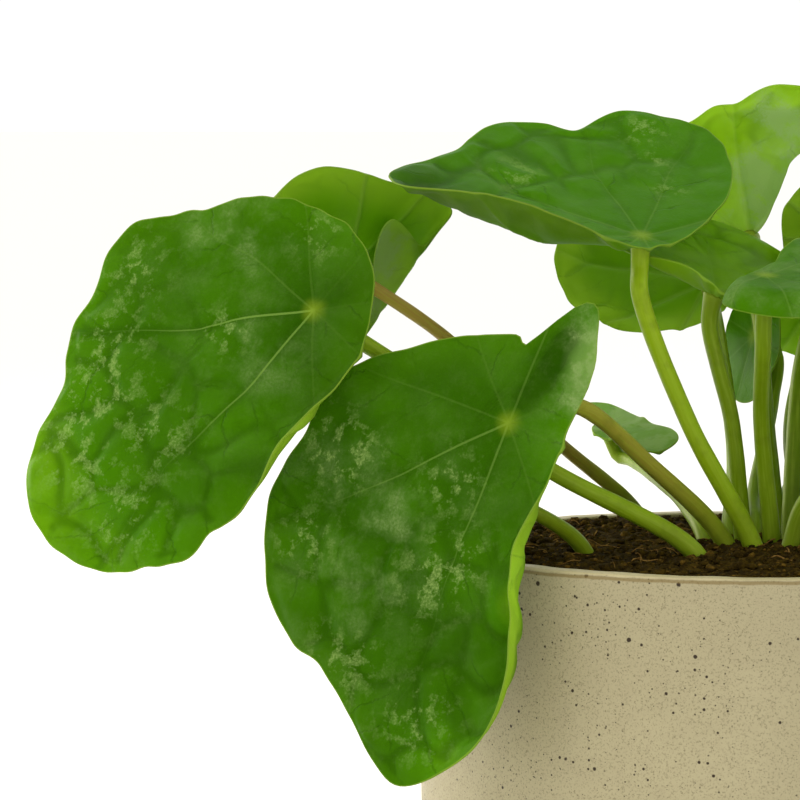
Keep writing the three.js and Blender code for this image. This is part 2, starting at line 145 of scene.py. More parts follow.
# Quilted fields: size, sway and its spacing, height, width of a crease, and where they start
# and are in full, as distances from the join.
FIELD_SIZE = 10.5
FIELD_SWAY = 2.2
FIELD_SWAY_SPACING = 16
BULGE = 1.1
CREASE_WIDTH = 3.2
FIELD_SINK = 0.3
FIELD_START = 9
FIELD_FADE = 14
FIELD_MARGIN = 2.5
FIELD_JITTER = 0.42
TIP_BULGE = 0.75
TIP_REACH = 42
SLOW_WAVE = 0.15
SLOW_WAVE_SPACING = 22
# Furrow above and rib below each main vein, and the dimple at the join: height and half width.
GROOVE = (0.3, 1.1)
GROOVE_END = 46
GROOVE_FADE = 30
RIB = (0.45, 0.8)
RIB_END = 48
RIB_FADE = 34
DIMPLE = (0.2, 4)
SCUFF_STRENGTH = 0.9
# Random seeds. Each leaf or stalk adds its own number.
LEAF_SEED = 40
STALK_SEED = 300
RIDGE_SEED = 700
SOIL_SEED = 11
CRUMB_SEED = 77

# Studio, in metres. Each lamp: name, place, what it looks at, size, power and colour.
FLOOR_REACH = 40
FLOOR_GAP = 0.05
ROOM_COLOUR = "FFFEF9"
ROOM_STRENGTH = 1.06
LAMPS = (
    ("window", (-1.1, -0.6, 1.2), (-0.03, 0, 0.13), 0.8, 6, "FFF6E6"),
    ("side_window", (-1.2, 0.75, 0.55), (-0.03, 0, 0.1), 0.9, 15, "FFF4E4"),
    ("low_window", (0.3, -1.3, 0.3), (0, 0, 0.03), 0.5, 2.2, "FFF6E8"),
)

# One entry per leaf, as in the solids, with the look of each blade at its end: `veins` are the directions
# of its eight main veins and `vein_shares` how clearly each one shows, `tone` runs from 0, old and dark,
# to 1, young and yellow-green, and the bloom value is its even share of pale wax and painted sheen. The
# tone spots and bloom spots add to both round a place, given along and across, with a reach and an
# amount. Besides young growth and wax, some of them are painted light and shade: a dark line along a
# crease, a darker rolled lip, and paler lobes and flaps where they catch the light. `scuffs` are worn
# whitish patches with a place and a reach. `fresh` is the share of the bright young margin. `folds` are
# lobes folded over a straight crease, given by the direction across it, its distance from the middle, the
# radius of its bend and its turn.
LEAVES = [
    {
        "name": "01", "join": [-79.5, -28, 155], "faces": [-0.3, -1, 0.32], "points": [-0.62, 0, -0.78],
        "middle": [24, 14], "cup": [-3, -3], "ripple": [0.9, 7, 20],
        "radii": [
            40, 37, 31, 24, 23, 24, 24, 27, 30, 30, 31, 35,
            38.5, 41, 40, 36, 32, 30.5, 29.5, 29, 30.5, 35, 36.8, 39.6,
        ],
        "notches": [[308, 0.05, 4]],
        "rolls": [[262, 40, 6, 110]],
        "root": [-10, -26], "through": [[-37.8, -28, 126.7], [-64, -20, 144.4]], "thick": 3.2,
        "veins": [2, 47, 90, 130, 180, 225, 275, 322], "tone": 0.3,
        "vein_shares": [0.9, 1, 0.2, 0.15, 0.05, 0.05, 0.08, 0.12],
        "young_tone_and_painted_light": [
            [62, 22, 18, 0.38], [48, 40, 14, 0.25], [30, 46, 12, 0.2], [58, -4, 12, 0.2],
            [-6, -2, 15, -0.12], [2, -11, 12, -0.35],
        ],
        # Pale wax and painted sheen towards the top of the blade.
        "wax_bloom_and_sheen_spots": [[-2, 21, 9, 0.8], [12, 4, 9, 0.7], [-2, 28, 9, 0.8]],
        "scuffs": [
            [15, 34, 6], [29, 28, 7], [45, 26, 7], [37, 22, 6], [35, 9, 6], [51, 5, 7], [50, 18, 5],
            [13, 11, 4], [-11, 9, 4],
        ],
    },
    {
        "name": "02", "join": [-44.8, -42, 135.8], "faces": [-0.35, -1, 0.3],
        "points": [-0.28, -0.1, -1],
        "middle": [24, 14], "cup": [-2, -2], "ripple": [0.8, 6, 0],
        "radii": [
            33.5, 28, 28, 28, 27, 26, 27, 27, 27, 31, 33, 34,
            37, 41, 49, 35, 30, 29, 30, 33, 37, 41, 43, 44.4,
        ],
        "rolls": [[280, 62, 9, 140]], "notches": [[204, -0.13, 4.5], [199, 0.09, 2.2]],
        "root": [-3.5, -8.5], "through": [[-18.2, -18, 126.1], [-32.9, -30, 138]], "thick": 3.2,
        "veins": [5, 52, 96, 140, 185, 232, 280, 325], "tone": 0.18,
        "vein_shares": [0.5, 0.6, 0.15, 0.1, 0.3, 0.05, 0.05, 0.12],
        # Some of these spots are painted light on the flap past the crease, and the row of small dark
        # ones is painted shade along the crease.
        "young_tone_and_painted_light": [
            [30, -12, 8, 0.5], [60, -6, 8, 0.4], [0, -14, 8, 0.3], [-16, -14, 8, 0.5],
            [-17, -6, 2, -0.8], [-13, -5, 2, -0.8], [-9, -4, 2, -0.8], [-5, -2, 2, -0.6],
        ],
        # Painted sheen where the blade looks glossy, and strong painted light on the flap past the
        # crease.
        "wax_bloom_and_sheen_spots": [
            [20, 36, 9, 0.5], [19, 17, 12, 0.6], [30, 18, 10, 0.5], [40, 19, 10, 0.35],
            [-20, -15, 7, 3], [-12, -14, 6, 3.5], [-15, -11, 4, 2.5], [-6, -14, 6, 2],
        ],
        "scuffs": [
            [12, 32, 6], [13, 27, 5], [30, 31, 5], [13, 7, 5], [31, 6, 6], [49, 18, 6], [55, 1, 6],
            [26, 1, 5],
        ],
    },
    {
        "name": "03", "join": [-74.6, 22, 160.7], "faces": [-0.55, 0.75, 0.35],
        "points": [-0.5, -0.2, -0.6],
        "middle": [8, 0], "cup": [-4, -4], "ripple": [0.4, 5, 40],
        "radii": [
            30, 29, 27, 24, 20, 16, 16.5, 21, 25, 36.5, 27, 32.5,
            29, 27, 26.5, 27.5, 28.8, 28, 27, 28, 29, 30, 31, 31,
        ],
        "folds": [[102, 12.8, 1.4, -172]],
        "root": [-16, 46], "through": [[-33, 34, 126.1], [-56.4, 14, 148.6]], "thick": 2.6,
        "tone": 0.5,
        # Painted sheen and light on the folded lobe.
        "wax_bloom_and_sheen_spots": [[-13, 23, 9, 3], [-4, 19, 8, 3]],
        "young_tone_and_painted_light": [[-12, 23, 10, 0.7], [-4, 19, 8, 0.5]],
    },
    {
        "name": "04", "join": [-70, -16, 124], "faces": [-0.8, -0.35, 0.6],
        "points": [-0.6, -0.1, -0.7],
        "middle": [6, 0], "cup": [-3, -3], "ripple": [0.5, 5, 10],
        "radii": [18, 17, 17, 16, 15, 14, 14, 14, 15, 16, 17, 18],
        "root": [-30, -17], "through": [[-40.5, -24, 118.5], [-56, -20, 123]], "thick": 2.8,
        "veins": [3, 50, 95, 140, 185, 230, 275, 320], "tone": 0.6,
    },
    {
        "name": "05", "join": [-19.5, -12, 168.3], "faces": [0.06, -0.45, 1],
        "points": [-0.8, 0.6, 0.12],
        "middle": [20.6, 5], "cup": [3, 5], "ripple": [0.3, 5, 60],
        "radii": [
            23, 24, 24, 23, 21, 29, 32, 35, 34, 32, 30, 28,
            27.3, 26.6, 27.5, 30, 32.5, 33, 33, 33, 35, 33.5, 27, 23,
        ],
        "rolls": [[255, 60, 14, 85]],
        "root": [1.5, -11], "through": [[-10.6, -14, 133.2], [-19.8, -14.2, 156.8]], "thick": 3.4,
        "veins": [-8, 36, 68, 115, 170, 220, 265, 310], "tone": 0.5, "wax_bloom_and_sheen": 0.12, "fresh": 0.1,
        # The dark spots are painted shade under the rolled near margin.
        "young_tone_and_painted_light": [[12, -27, 9, -0.5], [28, -25, 9, -0.5], [-2, -22, 9, -0.5], [40, -18, 8, -0.4]],
        "scuffs": [[21, 31, 4], [30, 2, 5], [6, 18, 3], [14, 24, 3]],
    },
    {
        "name": "06", "join": [-5.2, -6, 157.7], "faces": [0.4, -0.3, 1], "points": [-0.1, 1, 0.1],
        "middle": [18, 0], "cup": [3, 3], "ripple": [0.3, 4, 0],
        "radii": [18, 19, 22, 22, 21, 21, 22, 24, 26, 25, 24, 20],
        "rolls": [[200, 38, 6, 60]],
        "root": [0.5, -1], "through": [[-2.1, -4, 133.3], [-4.9, -5.2, 144]], "thick": 3.2,
        "tone": 0.72, "wax_bloom_and_sheen": 0.5, "fresh": 0.1,
    },
    {
        "name": "07", "join": [2.2, -24, 161.4], "faces": [0.05, -0.22, 1], "points": [0.97, 0.3, -0.1],
        "middle": [17.5, -9], "cup": [3, 6], "ripple": [0.4, 5, 30],
        "radii": [
            34, 33, 32, 31, 30, 29, 29, 30, 32, 34, 34.5, 23,
            15, 12, 10.5, 10, 10.3, 11.5, 14, 18, 24, 26.5, 29, 32,
        ],
        "rolls": [[135, 85, 8, -80]],
        "root": [5.5, -4], "through": [[2.8, -10, 133.8], [2.2, -19, 147]], "thick": 3.2,
        # Its bloom is partly painted sheen, as the blade is seen at a grazing angle.
        "veins": [5, 52, 96, 140, 185, 232, 280, 325], "tone": 0.4, "wax_bloom_and_sheen": 0.7,
        "scuffs": [[20, 10, 8]],
    },
    {
        "name": "08", "join": [-21.5, 62, 126.8], "faces": [-0.1, -0.33, 1], "points": [1, -0.2, 0],
        "middle": [4.2, -0.8], "cup": [-1, -1], "ripple": [0.3, 5, 0],
        "radii": [
            6.5, 9.2, 12.5, 13.9, 14.5, 12.5, 9, 7.5, 7, 7.5, 8, 8,
            8, 8.2, 10.5, 16, 13.5, 8.8, 6.5, 5.2, 4.6, 4.3, 4.5, 5.2,
        ],
        "root": [-6.8, -2.5], "through": [[-9.1, 6, 115.3], [-12.6, 36, 118], [-17.6, 60, 120.5]],
        "thick": 2.8,
        # Its strong bloom is painted sheen on a nearly flat blade seen at a grazing angle.
        "tone": 0.6, "wax_bloom_and_sheen": 3.5,
    },
    {
        "name": "09", "join": [-1.7, 66, 157], "faces": [-0.1, 0.75, 0.6], "points": [-0.9, 0.3, -0.3],
        "middle": [13, -8], "cup": [-2, -2], "ripple": [0.4, 5, 0],
        "radii": [13.5, 12.5, 14, 17, 21, 23, 23, 23, 23, 23, 19.5, 15.5],
        "root": [-1.5, 6], "through": [[0.6, 22, 123.8], [-0.4, 50, 146.5]], "thick": 3,
        "tone": 0.55,
    },
    {
        "name": "10", "join": [5.8, 46, 166.1], "faces": [0.3, 0.8, 0.4], "points": [0.1, 0.1, 0.98],
        "middle": [19, 1], "cup": [-2, -2], "ripple": [0.3, 5, 0],
        "radii": [11, 11, 12, 17, 20, 19, 19.5, 12.5, 10, 11.5, 22.5, 18],
        "root": [8, 11.5], "through": [[7.2, 24, 130], [6.8, 39, 149.7]], "thick": 3,
        "veins": [4, 50, 92, 135, 180, 226, 270, 316], "tone": 1.0,
        # Painted sheen on the pale lower part of the blade.
        "wax_bloom_and_sheen_spots": [[4.7, 0.2, 8, 2.2], [12.7, -3.3, 8, 2.5], [24, -10, 9, 3]],
    },
    {
        "name": "11", "join": [21.2, 34, 167.3], "faces": [0.1, 0.8, 0.6], "points": [0.7, 0.3, -0.4],
        "middle": [5, 0], "cup": [-3, -3], "ripple": [0.4, 5, 0],
        "radii": [19, 19, 18, 17, 17, 18.5, 17.3, 14.8, 14, 14, 16, 18],
        "root": [9.5, 2.5], "through": [[12.4, 14, 141.5], [17.7, 26, 156.3]], "thick": 3.2,
        "tone": 0.6,
    },
    {
        "name": "12", "join": [6.7, 53, 146], "faces": [-0.9, -0.4, 0.15], "points": [0.05, 0.3, -1],
        "middle": [1, 0], "cup": [-2, -2], "ripple": [0.4, 5, 0],
        "radii": [13, 12.5, 11.5, 11, 11.5, 12, 12.5, 12, 11.5, 11, 11.5, 12.5],
        "root": [3.7, 7.6], "through": [[4.3, 20, 116.5], [10.4, 48, 133.5]], "thick": 2.8,
        "tone": 0.45, "wax_bloom_and_sheen": 0.0,
    },
    {
        "name": "13", "join": [18.9, 52, 153.2], "faces": [0.2, 0.8, 0.6], "points": [0.3, 0.5, -0.6],
        "middle": [5, 0], "cup": [-3, -3], "ripple": [0.4, 5, 0],
        "radii": [12, 15, 18, 20, 19, 17, 14, 12, 11, 11, 12, 10.5],
        "root": [12.5, 9], "through": [[11.8, 26, 129.1], [16.9, 45, 144.6]], "thick": 3,
        "tone": 1.0,
    },
    {
        "name": "14", "join": [66, -4, 168], "faces": [0.4, -0.2, 0.9], "points": [0.8, 0.1, -0.5],
        "middle": [16, 0], "cup": [-3, -4], "ripple": [1, 6, 40],
        "radii": [36, 34, 31, 29, 28, 29, 30, 29, 28, 30, 33, 36],
        "rolls": [[60, 50, 6, 60]],
        "root": [12, -5], "through": [[15, -6, 124.5], [44, -8, 154]], "thick": 3.2,
        "veins": [0, 42, 88, 135, 182, 228, 272, 318], "tone": 0.3,
        "scuffs": [[30, 10, 9], [14, -16, 7]],
    },
    {
        "name": "15", "join": [60, -48, 130], "faces": [0.62, -0.75, 0.4], "points": [0.3, -0.2, -0.95],
        "middle": [20, 0], "cup": [-3, -3], "ripple": [0.9, 7, 0],
        "radii": [38, 35, 31, 30, 31, 30, 29, 31, 32, 31, 33, 37],
        "rolls": [[280, 50, 7, 100]],
        "root": [8.5, -11], "through": [[12, -15, 120.5], [38, -34, 132]], "thick": 3.2,
        "veins": [-3, 44, 92, 138, 184, 230, 276, 318], "tone": 0.2,
        "scuffs": [[34, 8, 8], [20, 18, 8], [26, -16, 6]],
    },
    {
        "name": "16", "join": [88, 16, 136], "faces": [0.8, 0.1, 0.55], "points": [0.6, 0.15, -0.75],
        "middle": [18, 0], "cup": [-3, -3], "ripple": [0.8, 6, 80],
        "radii": [34, 33, 31, 28, 26, 26, 27, 27, 28, 30, 32, 34],
        "root": [16.5, -0.5], "through": [[32, 4, 127], [66, 14, 136]], "thick": 3.2,
        "veins": [2, 46, 90, 132, 180, 224, 270, 316], "tone": 0.35,
        "scuffs": [[30, -8, 8], [24, 16, 7]],
    },
    {
        "name": "17", "join": [78, 50, 150], "faces": [0.65, 0.6, 0.45], "points": [0.3, 0.3, -0.85],
        "middle": [17, 0], "cup": [-3, -3], "ripple": [0.8, 6, 10],
        "radii": [35, 33, 30, 29, 28, 28, 27, 28, 30, 31, 32, 35],
        "root": [13, 14], "through": [[27, 25, 132], [62, 42, 149]], "thick": 3,
        "veins": [-2, 43, 88, 133, 178, 224, 268, 312], "tone": 0.4, "scuffs": [[26, 12, 8]],
    },
    {
        "name": "18", "join": [42, 12, 186], "faces": [0.2, -0.25, 1], "points": [0.9, 0.3, 0.1],
        "middle": [12, 0], "cup": [4, 5], "ripple": [0.6, 5, 30],
        "radii": [30, 29, 27, 25, 23, 23, 23, 23, 24, 26, 28, 30],
        "root": [17.5, 4.7], "through": [[25, 10, 142], [39.5, 15, 172]], "thick": 3,
        "veins": [0, 45, 92, 136, 180, 226, 270, 315], "tone": 0.45, "scuffs": [[18, 8, 7]],
    },
    {
        "name": "19", "join": [44, 84, 132], "faces": [0.15, 0.8, 0.6], "points": [0.1, 0.5, -0.85],
        "middle": [12, 0], "cup": [-3, -3], "ripple": [0.7, 6, 50],
        "radii": [28, 27, 25, 23, 22, 22, 22, 23, 24, 25, 26, 28],
        "root": [8, 15.5], "through": [[15, 38, 120], [34, 70, 131]], "thick": 2.8,
        "tone": 0.5, "scuffs": [[20, 0, 7]],
    },
]

# Brown runs from 0, green, to 1, ripened brown, and tone from dark to yellow-green.
STALK_LOOKS = {
    "01": (0.6, 0.0), "02": (0.7, 0.55), "03": (0.6, 0.85), "04": (0.6, 0.1), "05": (0.8, 0.0),
    "06": (0.45, 0.0), "07": (0.45, 0.0), "08": (0.5, 0.0), "11": (0.3, 0.0), "15": (0.35, 0.0),
}


# Camera


def place_camera():
    data = bpy.data.cameras.new("camera")
    data.lens = CAMERA_LENS
    data.sensor_width = CAMERA_SENSOR
    data.clip_start = 0.01
    data.clip_end = 50
    camera = bpy.data.objects.new("camera", data)
    camera.location = CAMERA_PLACE
    camera.rotation_euler = (math.radians(90 - CAMERA_DROP), 0, 0)
    bpy.context.collection.objects.link(camera)
    bpy.context.scene.camera = camera


place_camera()


# Small helpers


def smooth(t):
    u = np.clip(t, 0, 1)
    return u * u * (3 - 2 * u)


def unit(v):
    v = np.asarray(v, float)
    return v / np.linalg.norm(v)


def soil_noise(x, y):
    slow = np.sin(x * 0.31 + 1.3) * np.cos(y * 0.27 - 0.4)
    quick = np.sin(x * 0.83 - y * 0.61 + 2.1) * np.cos(y * 0.74 + x * 0.22)
    return 0.6 * slow + 0.4 * quick


def soil_height(x, y):
    share = np.hypot(x, y) / (POT_RADIUS - POT_WALL - SOIL_GAP)
    return SOIL_EDGE_Z + SOIL_CROWN * (1 - share * share) + SOIL_LUMP * soil_noise(x, y)


def waves(x, y, seed, size, count=5):
    """Soft uneven waves between -1 and 1, with crests about `size` apart."""
    draw = np.random.default_rng(seed)
    total = np.zeros(np.shape(x))
    for _ in range(count):
        heading = draw.uniform(0, 2 * math.pi)
        length = size * draw.uniform(0.7, 1.5)
        phase = draw.uniform(0, 2 * math.pi)
        total += np.sin((x * math.cos(heading) + y * math.sin(heading)) * 2 * math.pi / length + phase)
    return total / math.sqrt(count) / 1.4


def make_piece(name, points, faces, materials, slots=None, attributes=None):
    """Makes a smooth mesh piece from points in millimetres."""
    mesh = bpy.data.meshes.new(name)
    mesh.from_pydata((np.asarray(points) * MM).tolist(), [], faces)
    for material in materials:
        mesh.materials.append(material)
    mesh.polygons.foreach_set("use_smooth", [True] * len(mesh.polygons))
    if slots is not None:
        mesh.polygons.foreach_set("material_index", slots)
    for label, values in (attributes or {}).items():
        layer = mesh.attributes.new(label, "FLOAT_VECTOR", "POINT")
        layer.data.foreach_set("vector", np.asarray(values, np.float32).ravel())
    mesh.update()
    piece = bpy.data.objects.new(name, mesh)
    bpy.context.collection.objects.link(piece)
    return piece


# Materials

# Sizes of iron speck: spacing and width across in millimetres, chance and strength.
SPECKS = ((3.2, 0.9, 0.5, 1), (1.5, 0.6, 0.5, 1), (0.8, 0.36, 0.34, 0.85))
FADE = {"interpolation_type": "SMOOTHSTEP"}
COLOUR = {"data_type": "RGBA"}


def tint(code):
    """Turns an sRGB hex colour into a linear one."""
    values = [int(code[i : i + 2], 16) / 255 for i in (0, 2, 4)]
    return [v / 12.92 if v <= 0.04045 else ((v + 0.055) / 1.055) ** 2.4 for v in values] + [1.0]


def add(tree, kind, inputs=None, **settings):
    """Adds one node with its settings, links and values. A linked node gives its first output."""
    node = tree.nodes.new("ShaderNode" + kind)
    for key, value in settings.items():
        setattr(node, key, value)
    for key, value in (inputs or {}).items():
        if isinstance(value, bpy.types.Node):
            value = next(socket for socket in value.outputs if socket.enabled)
        if isinstance(value, bpy.types.NodeSocket):
            tree.links.new(value, node.inputs[key])
        else:
            node.inputs[key].default_value = value
    return node


def new_material(name):
    material = bpy.data.materials.new(name)
    material.use_nodes = True
    material.node_tree.nodes.clear()
    return material, material.node_tree


def tinted_layers(tree, colour, layers):
    """Lays colours over one another, each as strongly as its mask says."""
    for mask, code in layers:
        colour = add(tree, "Mix", {0: mask, 6: colour, 7: tint(code)}, **COLOUR)
    return colour


def added_heights(tree, parts):
    """Adds up heights, each with its own weight in millimetres."""
    total = 0.0
    for source, weight in parts:
        total = add(tree, "Math", {0: source, 1: weight, 2: total}, operation="MULTIPLY_ADD")
    return total


def leaf_skin(name, upper):
    """Living leaf skin: waxy and smooth above, duller and paler below, and thin enough for
    daylight to shine through it."""
    material, tree = new_material(name)
    place = add(tree, "Attribute", attribute_name="blade_place").outputs["Vector"]
    veins = add(tree, "Attribute", attribute_name="blade_veins").outputs["Vector"]
    form = add(tree, "Attribute", attribute_name="blade_form").outputs["Vector"]
    look = add(tree, "Attribute", attribute_name="blade_look").outputs["Vector"]
    along, across, tone = add(tree, "SeparateXYZ", {0: place}).outputs
    vein_along, vein_across, vein_share = add(tree, "SeparateXYZ", {0: veins}).outputs
    margin, crease, scuff = add(tree, "SeparateXYZ", {0: form}).outputs
    wax_bloom_and_sheen, quilt, fresh = add(tree, "SeparateXYZ", {0: look}).outputs
    flat = add(tree, "CombineXYZ", {0: along, 1: across})
    even = add(tree, "CombineXYZ", {0: vein_along, 1: vein_across})
    broad = add(tree, "TexNoise", {"Vector": flat, "Scale": 0.06, "Detail": 3, "Roughness": 0.55})
    middling = add(tree, "TexNoise", {"Vector": flat, "Scale": 0.24, "Detail": 4, "Roughness": 0.6})
    fine = add(tree, "TexNoise", {"Vector": flat, "Scale": 1.9, "Detail": 4, "Roughness": 0.7})

    # Main veins: eight rays from the join, in millimetres from each ray. They are about 0.4 mm wide, pale
    # near the join and lost further out, with painted shade on both sides where the vein's groove would
    # be in shadow.
    angle = add(tree, "Math", {0: vein_across, 1: vein_along}, operation="ARCTAN2")
    turn = add(tree, "Math", {0: angle, 1: math.pi}, operation="ADD")
    away = add(tree, "Math", {0: turn, 1: math.pi / VEINS}, operation="PINGPONG")
    reach = add(tree, "VectorMath", {0: even}, operation="LENGTH")
    sine = add(tree, "Math", {0: away}, operation="SINE")
    off_vein = add(tree, "Math", {0: reach, 1: sine}, operation="MULTIPLY")
    half_width = add(tree, "MapRange", {
        0: reach, 1: 0, 2: 46, 3: 0.24 if upper else 0.6, 4: 0.1 if upper else 0.25,
    })
    in_widths = add(tree, "Math", {0: off_vein, 1: half_width}, operation="DIVIDE")
    line = add(tree, "MapRange", {0: in_widths, 1: 0.5, 2: 1.3, 3: 1, 4: 0}, **FADE)
    fade = add(tree, "MapRange", {0: reach, 1: 10, 2: 42, 3: 1, 4: 0.1}, **FADE)
    line = add(tree, "Math", {0: line, 1: fade}, operation="MULTIPLY")
    vein = add(tree, "Math", {0: line, 1: vein_share}, operation="MULTIPLY")
    # Painted shade: darker on both sides of each main vein, standing in for the shadow in its groove.
    beside = add(tree, "MapRange", {0: off_vein, 1: 0.2, 2: 1.8, 3: 0.5, 4: 0}, **FADE)
    painted_vein_shade = add(tree, "Math", {0: beside, 1: vein_share}, operation="MULTIPLY")

    # Side veins: thin sunken furrows that leave the main veins about every 8 mm and bend outwards,
    # darkened with painted shade.
    half = add(tree, "Math", {0: turn, 1: VEINS / math.pi}, operation="MULTIPLY")
    half = add(tree, "Math", {0: half}, operation="FLOOR")
    half = add(tree, "Math", {0: half, 1: 1.7}, operation="MULTIPLY")
    start = add(tree, "Math", {0: half}, operation="SINE")
    bent = add(tree, "Math", {0: off_vein, 1: -1.1, 2: reach}, operation="MULTIPLY_ADD")
    bent = add(tree, "Math", {0: start, 1: 4, 2: bent}, operation="MULTIPLY_ADD")
    bent = add(tree, "Math", {0: middling, 1: 5, 2: bent}, operation="MULTIPLY_ADD")
    from_side = add(tree, "Math", {0: bent, 1: 4}, operation="PINGPONG")
    side = add(tree, "MapRange", {0: from_side, 1: 0.05, 2: 0.45, 3: 1, 4: 0}, **FADE)
    side_end = add(tree, "MapRange", {0: away, 1: math.pi / 14, 2: math.pi / VEINS, 3: 1, 4: 0}, **FADE)
    side = add(tree, "Math", {0: side, 1: side_end}, operation="MULTIPLY")
    side_share = add(tree, "MapRange", {0: broad, 1: 0.42, 2: 0.62, 3: 0, 4: 1}, **FADE)
    side = add(tree, "Math", {0: side, 1: side_share}, operation="MULTIPLY")

    # Worn wax: ragged islands of whitish grains 0.3 to 1 mm across. Round them lies a soft pale cloud
    # that is partly wax bloom and partly painted sheen where the blade catches the light.
    island = add(tree, "TexNoise", {"Vector": flat, "Scale": 0.3, "Detail": 7, "Roughness": 0.68})
    island = add(tree, "MapRange", {0: island, 1: 0.5, 2: 0.58}, **FADE)
    fleck = add(tree, "TexNoise", {"Vector": flat, "Scale": 2.1, "Detail": 3, "Roughness": 0.7})
    fleck = add(tree, "MapRange", {0: fleck, 1: 0.45, 2: 0.62, 3: 0.38, 4: 1}, **FADE)
    worn = add(tree, "Math", {0: island, 1: scuff}, operation="MULTIPLY")
    worn = add(tree, "Math", {0: worn, 1: fleck}, operation="MULTIPLY", use_clamp=True)
    cloud = add(tree, "TexNoise", {"Vector": flat, "Scale": 0.1, "Detail": 4, "Roughness": 0.6})
    cloud = add(tree, "MapRange", {0: cloud, 1: 0.42, 2: 0.7}, **FADE)
    grain = add(tree, "MapRange", {0: fine, 1: 0.35, 2: 0.75, 3: 0.35, 4: 1}, **FADE)
    cloud = add(tree, "Math", {0: cloud, 1: grain}, operation="MULTIPLY")
    wax_and_sheen_film = add(tree, "MapRange", {0: wax_bloom_and_sheen, 1: 1.2, 2: 4, 3: 0, 4: 0.5})
    cloud = add(tree, "Math", {0: cloud, 1: wax_bloom_and_sheen, 2: wax_and_sheen_film}, operation="MULTIPLY_ADD", use_clamp=True)

    # Colour: old dark green to young yellow-green, uneven over the blade, with painted shade in the
    # creases between the quilted fields, beside the main veins and in the side veins, and painted sheen
    # in the pale cloud.
    old, ripe, young_tone_and_painted_light = ("234B02", "407704", "8FBC14") if upper else ("456F04", "629C08", "A2CC18")
    first = add(tree, "MapRange", {0: tone, 1: 0, 2: 0.5})
    second = add(tree, "MapRange", {0: tone, 1: 0.5, 2: 1})
    green = add(tree, "Mix", {0: first, 6: tint(old), 7: tint(ripe)}, **COLOUR)
    uneven = add(tree, "MapRange", {0: broad, 1: 0.4, 2: 0.66, 3: 0, 4: 0.3}, **FADE)
    darker = add(tree, "MapRange", {0: middling, 1: 0.42, 2: 0.72, 3: 0, 4: 0.3}, **FADE)
    fresh_edge = add(tree, "MapRange", {0: margin, 1: 0.5, 2: 9, 3: 0.2 if upper else 0.75, 4: 0}, **FADE)
    fresh_edge = add(tree, "Math", {0: fresh_edge, 1: fresh}, operation="MULTIPLY")
    # Painted shade in the creases between the quilted fields.
    crease_painted_shade = add(tree, "MapRange", {0: crease, 1: 0.1, 2: 1.4, 3: 0.55, 4: 0}, **FADE)
    crease_painted_shade = add(tree, "Math", {0: crease_painted_shade, 1: quilt}, operation="MULTIPLY")
    # Painted shade in the sunken side veins.
    side_vein_painted_shade = add(tree, "Math", {0: side, 1: 0.45 if upper else 0.25}, operation="MULTIPLY")
    vein_pale = add(tree, "Math", {0: vein, 1: 0.7}, operation="MULTIPLY")
    # The pale cloud: wax bloom together with painted sheen.
    wax_bloom_and_sheen_pale = add(tree, "Math", {0: cloud, 1: 0.85}, operation="MULTIPLY")
    worn_pale = add(tree, "Math", {0: worn, 1: 0.68 if upper else 0.1}, operation="MULTIPLY")
    uneven_reach = add(tree, "Math", {0: middling, 1: 2.4, 2: reach}, operation="MULTIPLY_ADD")
    spot = add(tree, "MapRange", {0: uneven_reach, 1: 1.2, 2: 4.4, 3: 0.5, 4: 0}, **FADE)
    edge_line = add(tree, "MapRange", {0: margin, 1: 0.06, 2: 0.3, 3: 0.6, 4: 0}, **FADE)
    green = tinted_layers(tree, green, (
        (second, young_tone_and_painted_light),
        (uneven, "4F8C08" if upper else "7FA838"),
        (darker, "2B5402" if upper else "4C7818"),
        (fresh_edge, "568C08" if upper else "A4D030"),
        (crease_painted_shade, "234A01" if upper else "3F6A10"),
        (painted_vein_shade, "264E02" if upper else "55802A"),
        (side_vein_painted_shade, "254C02" if upper else "557E28"),
        (wax_bloom_and_sheen_pale, "88A460" if upper else "A4B884"),
        (worn_pale, "9CBA66"),
        (vein_pale, "7FA447" if upper else "A2BC5E"),
        (spot, "93AE2A"),
        (edge_line, "93B23E"),
    ))

    # Skin grain of half a millimetre, sunken side veins and raised worn wax.
    height = added_heights(tree, (
        (fine, 0.05), (side, -0.12), (worn, 0.04), (line, 0.02 if upper else 0.15), (middling, 0.3),
    ))
    bump = add(tree, "Bump", {"Height": height, "Strength": 0.6, "Distance": MM})
    gloss = add(tree, "MapRange", {
        0: fine, 1: 0.3, 2: 0.8, 3: 0.36 if upper else 0.5, 4: 0.5 if upper else 0.64,
    })
    gloss = add(tree, "Math", {0: worn, 1: 0.25, 2: gloss}, operation="MULTIPLY_ADD", use_clamp=True)
    skin = add(tree, "BsdfPrincipled", {
        "Base Color": green, "Roughness": gloss, "Normal": bump, "IOR": 1.45,
        "Specular IOR Level": 0.1, "Specular Tint": tint("C4E060"),
    })
    light_through = add(tree, "Mix", {0: tone, 6: tint("386E02"), 7: tint("B8E81C")}, **COLOUR)
    through = add(tree, "BsdfTranslucent", {"Color": light_through, "Normal": bump})
    both = add(tree, "MixShader", {0: 0.3 if upper else 0.4, 1: skin, 2: through})
    add(tree, "OutputMaterial", {"Surface": both})
    return material


